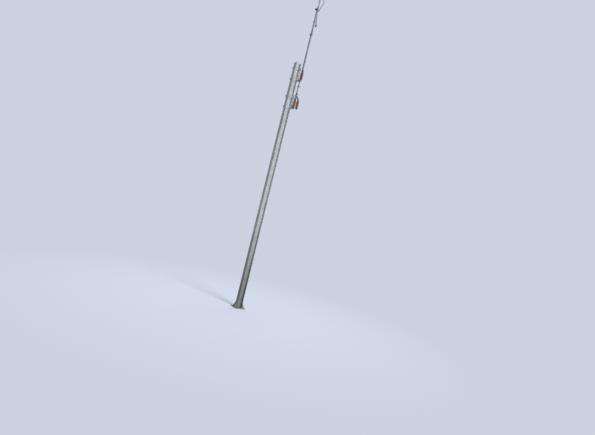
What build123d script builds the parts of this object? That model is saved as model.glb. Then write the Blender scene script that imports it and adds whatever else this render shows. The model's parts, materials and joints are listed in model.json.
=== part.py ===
from build123d import *
import os
from math import atan2, degrees, hypot

# Railway catenary mast with its cantilever stowed upright beside it, in millimetres.
# Z runs up the mast from the underside of the base plate, X points from the mast to
# the track, square to the flanges, and Y runs along the track.

# Column: wide-flange H section
mast_height = 9500.0
section_depth = 200.0
section_width = 200.0
web_thickness = 9.0
flange_thickness = 15.0
root_radius = 18.0
lifting_hole_radius = 14.0
lifting_hole_y = 65.0
lifting_hole_drop = 85.0

# Base plate and its ribs
base_side = 420.0
base_thickness = 30.0
base_corner_radius = 20.0
base_edge_chamfer = 3.0
anchor_pitch = 320.0
anchor_hole_radius = 17.0
gusset_thickness = 12.0
gusset_reach = 90.0
gusset_height = 190.0
gusset_y = 60.0
gusset_lip = 20.0
gusset_snipe = 15.0

# Swivel brackets, clamped round the flanges at two levels each
upper_bracket_drops = (640.0, 210.0)
lower_bracket_drops = (1710.0, 1300.0)
bracket_plate_thickness = 12.0
bracket_spine_width = 120.0
bracket_inner_fillet = 22.0
clamp_bar_height = 75.0
clamp_bar_thickness = 12.0
clamp_bar_overhang = 35.0
clamp_bar_corner = 6.0
clamp_rod_radius = 8.0
clamp_rod_gap = 1.0
clamp_rod_hole_play = 1.0
clamp_rod_end = 24.0
clamp_nut_width = 24.0
clamp_nut_height = 13.0
lug_thickness = 16.0
lug_root_width = 84.0
lug_tip_radius = 28.0
lug_rib_thickness = 10.0
lug_rib_reach = 30.0
lug_rib_height = 28.0

# Upright swivel pins
swivel_x = 168.0
swivel_pin_radius = 10.0
swivel_pin_end = 22.0
pin_head_extra = 6.0
pin_head_height = 9.0
pin_head_chamfer = 2.0
running_clearance = 0.08
seat_clearance = 0.3

# Swivel blocks and hinges of the two tubes
hub_radius = 23.0
hub_height = 110.0
hub_chamfer = 2.5
hinge_rise = 25.0
hinge_pin_radius = 10.0
hinge_pin_end = 9.0
tongue_thickness = 20.0
tongue_radius = 24.0
tongue_neck = 32.0
ear_thickness = 12.0
ear_radius = 26.0
ear_gap = 1.0
ear_bridge_thickness = 18.0
ear_bridge_setback = 38.0
stay_hinge_x = 252.0
stay_y = -50.0
strut_hinge_x = 276.0
strut_y = 45.0

# Insulators: long rods with sheds that slope towards the hinge, between two cups
core_radius = 36.0
shed_radius = 64.0
shed_count = 7
shed_pitch = 34.0
shed_edge = 5.0
shed_under_rise = 5.0
shed_top_rise = 14.0
shed_top_sag = 2.5
ceramic_length = 290.0
cup_radius = 46.0
cup_depth = 24.0
cup_floor = 14.0
cup_shoulder = 12.0
cup_rim_radius = 42.0
cup_rim_taper = 12.0
dome_shoulder = 22.0

# Tubes and the pinch sockets that hold them
stay_tube_radius = 19.0
stay_tube_wall = 3.2
strut_tube_radius = 24.15
strut_tube_wall = 4.0
socket_wall = 6.0
socket_depth = 80.0
pinch_slot = 4.0
pinch_slot_start = 8.0
pinch_ear_reach = 20.0
pinch_ear_width = 26.0
pinch_ear_height = 18.0
pinch_ear_levels = (20.0, 60.0)
pinch_bolt_radius = 5.5

# Eye at the top of the stay
stay_reach = 3300.0
eye_bore_radius = 11.0
eye_radius = 28.0
eye_thickness = 16.0
eye_side_gap = 5.0
eye_offset = 1.0
eye_sleeve_wall = 5.0
eye_sleeve_length = 120.0
eye_sleeve_drop = 110.0
eye_sleeve_floor = 12.0
eye_root_height = 20.0

# Clamps on the strut, at heights above its hinge
ring_wall = 9.0
ring_height = 44.0
ring_ear_reach = 24.0
ring_ear_width = 26.0
ring_ear_corner = 8.0
lower_ring_rise = 580.0
middle_ring_rise = 880.0
stay_boss_radius = 24.0
stay_boss_floor = 8.0
saddle_rise = 470.0
strut_end_margin = 90.0
saddle_standoff = 34.0
saddle_length = 110.0
saddle_radius = 21.0
saddle_mouth_radius = 13.0
saddle_mouth_depth = 14.0
saddle_arm_height = 36.0
saddle_slot_extra = 2.0
wire_groove_radius = 7.0

# Registration tube, hinged on the strut
registration_rise = 2945.0
registration_x = 335.0
registration_y = 115.0
registration_length = 1600.0
registration_tube_radius = 21.0
registration_tube_wall = 3.2
registration_sleeve_start = 42.0
registration_sleeve_length = 90.0
registration_sleeve_wall = 5.0
registration_sleeve_floor = 12.0
registration_ear_radius = 22.0
registration_arm_root = 20.0

# Bracket at the tip of the registration tube
tip_sleeve_wall = 7.0
tip_sleeve_length = 90.0
tip_sleeve_cap = 8.0
tip_plate_thickness = 14.0
tip_plate_root_drop = 70.0
tip_plate_radius = 18.0

# Steady arm, hanging from that bracket
arm_y = 160.0
arm_hinge_x = 449.5
arm_radius = 15.0
arm_wall = 3.0
arm_pin_radius = 8.0
arm_pin_end = 8.0
arm_eye_radius = 20.0
arm_eye_width = 24.0
arm_shoulder = (560.0, -190.0)
arm_elbow = (372.0, -700.0)
arm_foot = (440.0, -1130.0)
arm_bend_radius = 90.0
wire_clamp_length = 92.0
wire_clamp_neck_radius = 17.0
wire_clamp_jaw_width = 46.0
wire_clamp_jaw_height = 30.0
wire_clamp_depth = 44.0
wire_clamp_corner = 7.0
wire_clamp_socket_depth = 30.0
wire_clamp_socket_wall = 4.0
contact_groove_radius = 6.0

# Hanging insulator beside the strut
hanger_rise = 500.0
hanger_reach = 136.0
hanger_drop = 122.0
hanger_ear_radius = 20.0

# Worked out from the dimensions above
upper_bracket_z = tuple(mast_height - drop for drop in upper_bracket_drops)
lower_bracket_z = tuple(mast_height - drop for drop in lower_bracket_drops)
flange_face = section_depth / 2
rod_y = section_width / 2 + clamp_rod_gap + clamp_rod_radius
bar_half = section_width / 2 + clamp_bar_overhang
bracket_face = flange_face + bracket_plate_thickness
stay_hinge_z = upper_bracket_z[0] + hinge_rise
strut_hinge_z = lower_bracket_z[0] + hinge_rise
half_fork = tongue_thickness / 2 + ear_gap + ear_thickness
ceramic_start = tongue_neck + cup_floor
tube_start = ceramic_start + ceramic_length + cup_floor
stay_sleeve_radius = stay_tube_radius + seat_clearance + eye_sleeve_wall
stay_eye_face = stay_y + stay_sleeve_radius + eye_offset
joint_dx = stay_hinge_x + stay_reach - strut_hinge_x
joint_dz = stay_hinge_z - strut_hinge_z
strut_eye_reach = hypot(joint_dx, joint_dz)
strut_fold = degrees(atan2(joint_dx, joint_dz))
ring_bore = strut_tube_radius + seat_clearance
stay_clamp_z = strut_hinge_z + strut_eye_reach
saddle_z = stay_clamp_z + saddle_rise
strut_top_z = saddle_z + strut_end_margin
lower_ring_z = strut_hinge_z + lower_ring_rise
middle_ring_z = strut_hinge_z + middle_ring_rise
hanger_z = strut_hinge_z + hanger_rise
hanger_hinge_x = strut_hinge_x + hanger_reach
hanger_hinge_z = hanger_z - hanger_drop
registration_z = strut_hinge_z + registration_rise
registration_tip_z = registration_z + registration_length
arm_tip_z = registration_tip_z + arm_eye_radius

os.makedirs("parts", exist_ok=True)


def save(builder, name):
    builder.part.label = name
    export_step(builder.part, f"parts/{name}.step")


def make_column():
    pocket_depth = section_depth - 2 * flange_thickness
    pocket_reach = (section_width - web_thickness) / 2 + 2 * root_radius
    with BuildPart() as column:
        with BuildSketch(Plane.XY.offset(base_thickness)):
            Rectangle(section_depth, section_width)
            for side in (-1, 1):
                with Locations((0, side * (web_thickness + pocket_reach) / 2)):
                    RectangleRounded(pocket_depth, pocket_reach, root_radius, mode=Mode.SUBTRACT)
        extrude(amount=mast_height - base_thickness)
        with BuildSketch(Plane.YZ):
            with Locations((0, mast_height - lifting_hole_drop)):
                with GridLocations(2 * lifting_hole_y, 1, 2, 1):
                    Circle(lifting_hole_radius)
        extrude(amount=section_depth, both=True, mode=Mode.SUBTRACT)
    save(column, "column")


def make_base():
    with BuildPart() as plate:
        with BuildSketch():
            RectangleRounded(base_side, base_side, base_corner_radius)
            with GridLocations(anchor_pitch, anchor_pitch, 2, 2):
                Circle(anchor_hole_radius, mode=Mode.SUBTRACT)
        extrude(amount=base_thickness)
        chamfer(plate.faces().sort_by(Axis.Z)[-1].outer_wire().edges(), length=base_edge_chamfer)
    save(plate, "base_plate")
    with BuildPart() as gussets:
        for side in (-1, 1):
            for y in (-gusset_y, gusset_y):
                with BuildSketch(Plane.XZ.offset(-y)):
                    with BuildLine():
                        Polyline(
                            (side * (flange_face + gusset_snipe), base_thickness),
                            (side * (flange_face + gusset_reach), base_thickness),
                            (side * (flange_face + gusset_reach), base_thickness + gusset_lip),
                            (side * (flange_face + gusset_lip), base_thickness + gusset_height),
                            (side * flange_face, base_thickness + gusset_height),
                            (side * flange_face, base_thickness + gusset_snipe),
                            close=True,
                        )
                    make_face()
                extrude(amount=gusset_thickness / 2, both=True)
    save(gussets, "base_gussets")


def make_bracket(name, levels):
    """The plate on the track side, with a ribbed lug for the swivel pin at each level."""
    low, high = levels
    with BuildPart() as bracket:
        with BuildSketch(Plane.YZ.offset(flange_face)) as outline:
            with Locations((0, (low + high) / 2)):
                Rectangle(bracket_spine_width, high - low + clamp_bar_height)
            for level in levels:
                with Locations((0, level)):
                    Rectangle(2 * bar_half, clamp_bar_height)
            inner = [v for v in outline.vertices() if abs(abs(v.Y) - bracket_spine_width / 2) < 1]
            fillet(inner, radius=bracket_inner_fillet)
            for level in levels:
                with Locations((-rod_y, level), (rod_y, level)):
                    Circle(clamp_rod_radius + clamp_rod_hole_play, mode=Mode.SUBTRACT)
        extrude(amount=bracket_plate_thickness)
        for level in levels:
            underside = level - lug_thickness / 2
            with BuildSketch(Plane.XY.offset(underside)):
                with Locations((swivel_x, 0)):
                    Circle(lug_tip_radius)
                with Locations((bracket_face + 1, 0)):
                    Rectangle(2, lug_root_width)
                make_hull()
                with Locations((swivel_x, 0)):
                    Circle(swivel_pin_radius + running_clearance, mode=Mode.SUBTRACT)
            extrude(amount=lug_thickness)
            with BuildSketch(Plane.XZ):
                with BuildLine():
                    Polyline(
                        (bracket_face, underside),
                        (bracket_face + lug_rib_reach, underside),
                        (bracket_face, underside - lug_rib_height),
                        close=True,
                    )
                make_face()
            extrude(amount=lug_rib_thickness / 2, both=True)
    save(bracket, name)


def make_back_bar(name, level):
    """The flat bar across the far flange that a pair of rods pulls on."""
    with BuildPart() as bar:
        with BuildSketch(Plane.YZ.offset(-flange_face)):
            with Locations((0, level)):
                RectangleRounded(2 * bar_half, clamp_bar_height, clamp_bar_corner)
                with GridLocations(2 * rod_y, 1, 2, 1):
                    Circle(clamp_rod_radius + clamp_rod_hole_play, mode=Mode.SUBTRACT)
        extrude(amount=-clamp_bar_thickness)
    save(bar, name)


def make_clamp_rods(name, levels):
    """The rods on both sides of the mast at both levels, each with its two nuts."""
    back = -flange_face - clamp_bar_thickness
    places = [(y, level) for y in (-rod_y, rod_y) for level in levels]
    with BuildPart() as rods:
        with BuildSketch(Plane.YZ.offset(back - clamp_rod_end)):
            with Locations(*places):
                Circle(clamp_rod_radius)
        extrude(amount=bracket_face - back + 2 * clamp_rod_end)
        for face, way in ((bracket_face, 1), (back, -1)):
            with BuildSketch(Plane.YZ.offset(face)):
                with Locations(*places):
                    RegularPolygon(clamp_nut_width / 2, 6, major_radius=False)
            extrude(amount=way * clamp_nut_height)
    save(rods, name)


def make_swivel_pin(name, levels):
    bottom = levels[0] - lug_thickness / 2 - swivel_pin_end
    top = levels[1] + lug_thickness / 2
    with BuildPart() as pin:
        with BuildSketch(Plane.XY.offset(bottom)):
            with Locations((swivel_x, 0)):
                Circle(swivel_pin_radius)
        extrude(amount=top - bottom)
        with BuildSketch(Plane.XY.offset(top)):
            with Locations((swivel_x, 0)):
                Circle(swivel_pin_radius + pin_head_extra)
        extrude(amount=pin_head_height)
        chamfer(pin.faces().sort_by(Axis.Z)[-1].edges(), length=pin_head_chamfer)
    save(pin, name)


def make_cross_pin(name, x, y, z, radius=hinge_pin_radius):
    """A hinge pin along Y, with its head at the lower Y end and a plain end past the other ear."""
    with BuildPart() as pin:
        with BuildSketch(Plane.XZ.offset(-(y + half_fork + hinge_pin_end))):
            with Locations((x, z)):
                Circle(radius)
        extrude(amount=2 * half_fork + hinge_pin_end)
        with BuildSketch(Plane.XZ.offset(-(y - half_fork))):
            with Locations((x, z)):
                Circle(radius + pin_head_extra)
        extrude(amount=pin_head_height)
        chamfer(pin.faces().sort_by(Axis.Y)[0].edges(), length=pin_head_chamfer)
    save(pin, name)


def bore_hinge(x, y, z):
    """Cut the running bore of a hinge pin right through a fork or a tongue."""
    with BuildSketch(Plane.XZ.offset(-y)) as hole:
        with Locations((x, z)):
            Circle(hinge_pin_radius + running_clearance)
    extrude(hole.sketch, amount=2 * half_fork, both=True, mode=Mode.SUBTRACT)


def add_fork(x, y, z, tip_radius, root_x, root_z, root_width, root_height):
    """Two ears on both sides of a tongue, each drawn from a root that stands at root_x, root_z."""
    for side in (-1, 1):
        inner = y + side * (tongue_thickness / 2 + ear_gap)
        outer = inner + side * ear_thickness
        with BuildSketch(Plane.XZ.offset(-max(inner, outer))) as ear:
            with Locations((x, z)):
                Circle(tip_radius)
            with Locations((root_x, root_z)):
                Rectangle(root_width, root_height)
            make_hull()
        extrude(ear.sketch, amount=ear_thickness)


def make_swivel(name, level, hinge_x, plane_y):
    """A hub on the swivel pin, with an arm that carries the fork of a tube."""
    hub_bottom = level + lug_thickness / 2 + seat_clearance
    hinge_z = level + hinge_rise
    side = 1 if plane_y > 0 else -1
    bridge_x = hinge_x - ear_bridge_setback
    bridge_height = hinge_z + ear_radius - hub_bottom
    with BuildPart() as block:
        with BuildSketch(Plane.XY.offset(hub_bottom)):
            with Locations((swivel_x, 0)):
                Circle(hub_radius)
        extrude(amount=hub_height)
        chamfer(block.edges().filter_by(GeomType.CIRCLE), length=hub_chamfer)
        with BuildSketch(Plane.XY.offset(hub_bottom)):
            with BuildLine():
                Polyline(
                    (swivel_x, -side * hub_radius),
                    (bridge_x, plane_y - side * half_fork),
                    (bridge_x, plane_y + side * half_fork),
                    (bridge_x - ear_bridge_thickness, plane_y + side * half_fork),
                    (swivel_x, side * hub_radius),
                    close=True,
                )
            make_face()
        extrude(amount=bridge_height)
        root_z = hub_bottom + bridge_height / 2
        add_fork(hinge_x, plane_y, hinge_z, ear_radius, bridge_x - 1, root_z, 2, bridge_height)
        bore_hinge(hinge_x, plane_y, hinge_z)
        with BuildSketch(Plane.XY.offset(hub_bottom)):
            with Locations((swivel_x, 0)):
                Circle(swivel_pin_radius + running_clearance)
        extrude(amount=hub_height, mode=Mode.SUBTRACT)
    save(block, f"{name}_swivel_block")
    make_cross_pin(f"{name}_hinge_pin", hinge_x, plane_y, hinge_z)


def make_insulator(name, foot):
    """The ceramic rod, standing on foot, which is a plane whose Z runs along it."""
    first = (ceramic_length - (shed_count - 1) * shed_pitch) / 2 - shed_edge
    lip = shed_radius - shed_edge / 2
    profile = Plane(origin=foot.origin, x_dir=foot.x_dir, z_dir=-foot.y_dir)
    with BuildPart() as rod:
        with BuildSketch(profile):
            with BuildLine():
                Line((0, 0), (core_radius, 0))
                last = (core_radius, 0)
                for number in range(shed_count):
                    under = first + number * shed_pitch
                    edge_top = under + shed_edge
                    root = (core_radius, under + shed_under_rise)
                    crown = (core_radius, edge_top + shed_top_rise)
                    Line(last, root)
                    Line(root, (lip, under))
                    ThreePointArc((lip, under), (shed_radius, under + shed_edge / 2), (lip, edge_top))
                    sag_radius = (lip + core_radius) / 2 - shed_top_sag
                    sag_height = edge_top + shed_top_rise / 2 - shed_top_sag
                    ThreePointArc((lip, edge_top), (sag_radius, sag_height), crown)
                    last = crown
                Line(last, (core_radius, ceramic_length))
                Line((core_radius, ceramic_length), (0, ceramic_length))
                Line((0, ceramic_length), (0, 0))
            make_face()
        revolve(axis=Axis(foot.origin, foot.z_dir))
    save(rod, f"{name}_insulator")


def add_cup(at, up, shoulder=cup_shoulder):
    """The cup that grips an end of the rod: its floor is at the plane's origin, its mouth up from it."""
    height = cup_floor + cup_depth
    bore = core_radius + seat_clearance
    bend = shoulder * (1 - 0.5**0.5)
    profile = Plane(origin=at.origin, x_dir=at.x_dir, z_dir=-up * at.y_dir)
    with BuildSketch(profile) as half_section:
        with BuildLine():
            Line((0, 0), (cup_radius - shoulder, 0))
            ThreePointArc((cup_radius - shoulder, 0), (cup_radius - bend, bend), (cup_radius, shoulder))
            Polyline(
                (cup_radius, shoulder),
                (cup_radius, height - cup_rim_taper),
                (cup_rim_radius, height),
                (bore, height),
                (bore, cup_floor),
                (0, cup_floor),
                (0, 0),
            )
        make_face()
    revolve(half_section.sketch, axis=Axis(at.origin, at.z_dir))


def make_tongue_cap(name, x, y, z, way=1):
    """The cap at a hinge end: a tongue round the pin that widens into the cup, above it or below."""
    with BuildPart() as cap:
        add_cup(Plane(origin=(x, y, z + way * tongue_neck)), way)
        with BuildSketch(Plane.XZ.offset(-(y + tongue_thickness / 2))):
            with Locations((x, z)):
                Circle(tongue_radius)
            with Locations((x, z + way * tongue_neck)):
                Rectangle(2 * (cup_radius - cup_shoulder), 2)
            make_hull()
        extrude(amount=tongue_thickness)
        bore_hinge(x, y, z)
    save(cap, name)


def make_tube_cap(name, x, y, z, tube_radius, side):
    """The cap at the tube end: a cup upside down, and a slit socket with pinch ears on one side."""
    bore = tube_radius + seat_clearance
    outer = bore + socket_wall
    ear_x = x + side * (outer + pinch_ear_reach / 2 - pinch_slot)
    slit_reach = outer + 2 * pinch_ear_reach
    with BuildPart() as cap:
        add_cup(Plane(origin=(x, y, z)), -1)
        with BuildSketch(Plane.XY.offset(z - cup_shoulder)):
            with Locations((x, y)):
                Circle(outer)
        extrude(amount=socket_depth + cup_shoulder)
        for level in pinch_ear_levels:
            with BuildSketch(Plane.XZ.offset(-(y + pinch_ear_width / 2))):
                with Locations((ear_x, z + level)):
                    RectangleRounded(pinch_ear_reach + 2 * pinch_slot, pinch_ear_height, pinch_slot)
            extrude(amount=pinch_ear_width)
        with BuildSketch(Plane.XY.offset(z)):
            with Locations((x, y)):
                Circle(bore)
        extrude(amount=socket_depth, mode=Mode.SUBTRACT)
        with BuildSketch(Plane.XY.offset(z + pinch_slot_start)):
            with Locations((x + side * slit_reach / 2, y)):
                Rectangle(slit_reach, pinch_slot)
        extrude(amount=socket_depth, mode=Mode.SUBTRACT)
        with BuildSketch(Plane.XZ.offset(-y)):
            for level in pinch_ear_levels:
                with Locations((ear_x + side * pinch_slot, z + level)):
                    Circle(pinch_bolt_radius)
        extrude(amount=pinch_ear_width, both=True, mode=Mode.SUBTRACT)
    save(cap, f"{name}_tube_cap")


def make_tube(name, x, y, bottom, top, radius, wall):
    with BuildPart() as tube:
        with BuildSketch(Plane.XY.offset(bottom)):
            with Locations((x, y)):
                Circle(radius)
                Circle(radius - wall, mode=Mode.SUBTRACT)
        extrude(amount=top - bottom)
    save(tube, name)


def add_ring(z, ear_side):
    """A clamp band round the strut tube, with two ears that its pinch bolt draws together."""
    with BuildSketch(Plane.XY.offset(z - ring_height / 2)) as band:
        with Locations((strut_hinge_x, strut_y)):
            Circle(ring_bore + ring_wall)
    extrude(band.sketch, amount=ring_height)
    ear_x = strut_hinge_x + ear_side * (ring_bore + ring_wall + ring_ear_reach / 2 - ring_ear_corner)
    with BuildSketch(Plane.XZ.offset(-(strut_y + ring_ear_width / 2))) as ear:
        with Locations((ear_x, z)):
            RectangleRounded(ring_ear_reach + 2 * ring_ear_corner, ring_height, ring_ear_corner)
    extrude(ear.sketch, amount=ring_ear_width)


def cut_ring(z, ear_side):
    """Cut the tube's way, the slit between the ears and the pinch bolt's hole."""
    with BuildSketch(Plane.XY.offset(z - 4 * ring_height)) as way:
        with Locations((strut_hinge_x, strut_y)):
            Circle(ring_bore)
    extrude(way.sketch, amount=8 * ring_height, mode=Mode.SUBTRACT)
    slit_reach = ring_bore + ring_wall + 2 * ring_ear_reach
    with BuildSketch(Plane.XY.offset(z - ring_height)) as slit:
        with Locations((strut_hinge_x + ear_side * slit_reach / 2, strut_y)):
            Rectangle(slit_reach, pinch_slot)
    extrude(slit.sketch, amount=2 * ring_height, mode=Mode.SUBTRACT)
    bolt_x = strut_hinge_x + ear_side * (ring_bore + ring_wall + ring_ear_reach / 2)
    with BuildSketch(Plane.XZ.offset(-strut_y)) as hole:
        with Locations((bolt_x, z)):
            Circle(pinch_bolt_radius)
    extrude(hole.sketch, amount=ring_ear_width, both=True, mode=Mode.SUBTRACT)


def make_plain_ring(name, z):
    with BuildPart() as ring:
        add_ring(z, 1)
        cut_ring(z, 1)
    save(ring, name)


def make_stay():
    socket_z = stay_hinge_z + tube_start
    tip = stay_hinge_z + stay_reach
    tube_top = tip - eye_sleeve_drop
    make_insulator("stay", Plane(origin=(stay_hinge_x, stay_y, stay_hinge_z + ceramic_start)))
    make_tongue_cap("stay_tongue_cap", stay_hinge_x, stay_y, stay_hinge_z)
    make_tube_cap("stay", stay_hinge_x, stay_y, socket_z, stay_tube_radius, 1)
    make_tube("stay_tube", stay_hinge_x, stay_y, socket_z, tube_top, stay_tube_radius, stay_tube_wall)
    with BuildPart() as eye:
        with BuildSketch(Plane.XY.offset(tube_top - eye_sleeve_length)):
            with Locations((stay_hinge_x, stay_y)):
                Circle(stay_sleeve_radius)
        extrude(amount=eye_sleeve_length + eye_sleeve_floor)
        with BuildSketch(Plane.XZ.offset(-stay_eye_face)):
            with Locations((stay_hinge_x, tip)):
                Circle(eye_radius)
            with Locations((stay_hinge_x, tube_top - eye_root_height / 2)):
                Rectangle(2 * stay_tube_radius, eye_root_height)
            make_hull()
        extrude(amount=eye_thickness)
        with BuildSketch(Plane.XY.offset(tube_top)):
            with Locations((stay_hinge_x, stay_y)):
                Circle(stay_tube_radius + seat_clearance)
        extrude(amount=-2 * eye_sleeve_length, mode=Mode.SUBTRACT)
        with BuildSketch(Plane.XZ.offset(-stay_eye_face)):
            with Locations((stay_hinge_x, tip)):
                Circle(eye_bore_radius)
        extrude(amount=2 * eye_thickness, both=True, mode=Mode.SUBTRACT)
    save(eye, "stay_end_eye")


def make_strut():
    socket_z = strut_hinge_z + tube_start
    make_insulator("strut", Plane(origin=(strut_hinge_x, strut_y, strut_hinge_z + ceramic_start)))
    make_tongue_cap("strut_tongue_cap", strut_hinge_x, strut_y, strut_hinge_z)
    make_tube_cap("strut", strut_hinge_x, strut_y, socket_z, strut_tube_radius, -1)
    make_tube("strut_tube", strut_hinge_x, strut_y, socket_z, strut_top_z, strut_tube_radius, strut_tube_wall)
    make_plain_ring("strut_lower_ring", lower_ring_z)
    make_plain_ring("strut_middle_ring", middle_ring_z)
    make_stay_clamp()
    make_saddle()
    make_registration_clamp()
    make_hanger_clamp()


def make_stay_clamp():
    """The clamp that the stay is bolted to in service: a ring with a bored boss."""
    boss_face = stay_eye_face + eye_side_gap
    boss_end = strut_y - strut_tube_radius - stay_boss_floor
    with BuildPart() as clamp:
        add_ring(stay_clamp_z, 1)
        with BuildSketch(Plane.XZ.offset(-strut_y)):
            with Locations((strut_hinge_x, stay_clamp_z)):
                Circle(stay_boss_radius)
        extrude(amount=strut_y - boss_face)
        cut_ring(stay_clamp_z, 1)
        with BuildSketch(Plane.XZ.offset(-boss_face)):
            with Locations((strut_hinge_x, stay_clamp_z)):
                Circle(eye_bore_radius)
        extrude(amount=boss_face - boss_end, mode=Mode.SUBTRACT)
    save(clamp, "stay_clamp")


def make_saddle():
    """The saddle for the upper wire, which runs along Y through its groove."""
    groove_x = strut_hinge_x - strut_tube_radius - saddle_standoff
    first_end = strut_y - saddle_length / 2
    with BuildPart() as saddle:
        add_ring(saddle_z, 1)
        with BuildSketch(Plane.XZ.offset(-(strut_y + ring_height / 2))):
            with Locations(((groove_x + strut_hinge_x) / 2, saddle_z)):
                Rectangle(strut_hinge_x - groove_x, saddle_arm_height)
        extrude(amount=ring_height)
        with BuildSketch(Plane.XZ.offset(-(strut_y + saddle_length / 2))):
            with Locations((groove_x, saddle_z)):
                Circle(saddle_radius)
        extrude(amount=saddle_length)
        with BuildSketch(Plane.XZ.offset(-(strut_y + saddle_length / 2))):
            with Locations((groove_x, saddle_z)):
                Circle(wire_groove_radius)
            with Locations((groove_x - saddle_radius / 2, saddle_z)):
                Rectangle(saddle_radius + saddle_slot_extra, 2 * wire_groove_radius)
        extrude(amount=saddle_length, mode=Mode.SUBTRACT)
        for end, way in ((first_end, 1), (first_end + saddle_length, -1)):
            with Locations(Plane(origin=(groove_x, end, saddle_z), z_dir=(0, way, 0))):
                Cone(
                    saddle_mouth_radius,
                    wire_groove_radius,
                    saddle_mouth_depth,
                    align=(Align.CENTER, Align.CENTER, Align.MIN),
                    mode=Mode.SUBTRACT,
                )
        cut_ring(saddle_z, 1)
    save(saddle, "messenger_saddle")
    print("messenger wire groove at", round(groove_x, 3), strut_y, round(saddle_z, 3))


def make_registration_clamp():
    """The ring that carries the registration tube in a fork behind the strut."""
    bridge_x = registration_x - ear_bridge_setback
    with BuildPart() as clamp:
        add_ring(registration_z, 1)
        with BuildSketch(Plane.XY.offset(registration_z - ring_height / 2)):
            with BuildLine():
                Polyline(
                    (strut_hinge_x - registration_arm_root, strut_y),
                    (strut_hinge_x - registration_arm_root, registration_y),
                    (bridge_x - ear_bridge_thickness, registration_y + half_fork),
                    (bridge_x, registration_y + half_fork),
                    (bridge_x, strut_y + strut_tube_radius),
                    (strut_hinge_x + registration_arm_root / 2, strut_y),
                    close=True,
                )
            make_face()
        extrude(amount=ring_height)
        add_fork(
            registration_x,
            registration_y,
            registration_z,
            registration_ear_radius,
            bridge_x - 1,
            registration_z,
            2,
            ring_height,
        )
        bore_hinge(registration_x, registration_y, registration_z)
        cut_ring(registration_z, 1)
    save(clamp, "registration_clamp")
    make_cross_pin("registration_hinge_pin", registration_x, registration_y, registration_z)


def make_hanger_clamp():
    """The ring whose two arms carry the hanging insulator in a fork."""
    root_x = strut_hinge_x + strut_tube_radius + ring_wall
    with BuildPart() as clamp:
        add_ring(hanger_z, -1)
        add_fork(hanger_hinge_x, strut_y, hanger_hinge_z, hanger_ear_radius, root_x, hanger_z, 4, ring_height)
        cut_ring(hanger_z, -1)
        bore_hinge(hanger_hinge_x, strut_y, hanger_hinge_z)
    save(clamp, "hanger_clamp")
    make_cross_pin("hanger_pin", hanger_hinge_x, strut_y, hanger_hinge_z)


def make_hanging_insulator():
    foot = hanger_hinge_z - ceramic_start - ceramic_length
    make_tongue_cap("hanging_top_cap", hanger_hinge_x, strut_y, hanger_hinge_z, -1)
    make_insulator("hanging", Plane(origin=(hanger_hinge_x, strut_y, foot)))
    with BuildPart() as end:
        add_cup(Plane(origin=(hanger_hinge_x, strut_y, foot - cup_floor)), 1, dome_shoulder)
    save(end, "hanging_end_cap")


def make_registration():
    bore = registration_tube_radius + seat_clearance
    sleeve_bottom = registration_z + registration_sleeve_start
    tube_bottom = sleeve_bottom + registration_sleeve_floor
    with BuildPart() as eye:
        with BuildSketch(Plane.XZ.offset(-(registration_y + tongue_thickness / 2))):
            with Locations((registration_x, registration_z)):
                Circle(tongue_radius)
            with Locations((registration_x, registration_z + registration_sleeve_start / 2 + 1)):
                Rectangle(2 * tongue_radius, registration_sleeve_start + 2)
        extrude(amount=tongue_thickness)
        with BuildSketch(Plane.XY.offset(sleeve_bottom)):
            with Locations((registration_x, registration_y)):
                Circle(bore + registration_sleeve_wall)
        extrude(amount=registration_sleeve_length)
        with BuildSketch(Plane.XY.offset(tube_bottom)):
            with Locations((registration_x, registration_y)):
                Circle(bore)
        extrude(amount=registration_sleeve_length, mode=Mode.SUBTRACT)
        bore_hinge(registration_x, registration_y, registration_z)
    save(eye, "registration_eye")
    make_tube(
        "registration_tube",
        registration_x,
        registration_y,
        tube_bottom,
        registration_tip_z,
        registration_tube_radius,
        registration_tube_wall,
    )
    root_middle = registration_tip_z + (tip_sleeve_cap - tip_plate_root_drop) / 2
    with BuildPart() as bracket:
        with BuildSketch(Plane.XY.offset(registration_tip_z - tip_sleeve_length)):
            with Locations((registration_x, registration_y)):
                Circle(bore + tip_sleeve_wall)
        extrude(amount=tip_sleeve_length + tip_sleeve_cap)
        with BuildSketch(Plane.XZ.offset(-(registration_y + tip_plate_thickness / 2))):
            with Locations((arm_hinge_x, arm_tip_z)):
                Circle(tip_plate_radius)
            with Locations((registration_x + 1, root_middle)):
                Rectangle(2, tip_sleeve_cap + tip_plate_root_drop)
            make_hull()
        extrude(amount=tip_plate_thickness)
        with BuildSketch(Plane.XY.offset(registration_tip_z)):
            with Locations((registration_x, registration_y)):
                Circle(bore)
        extrude(amount=-2 * tip_sleeve_length, mode=Mode.SUBTRACT)
        with BuildSketch(Plane.XZ.offset(-registration_y)):
            with Locations((arm_hinge_x, arm_tip_z)):
                Circle(arm_pin_radius + running_clearance)
        extrude(amount=2 * tip_plate_thickness, both=True, mode=Mode.SUBTRACT)
    save(bracket, "arm_bracket")


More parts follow.
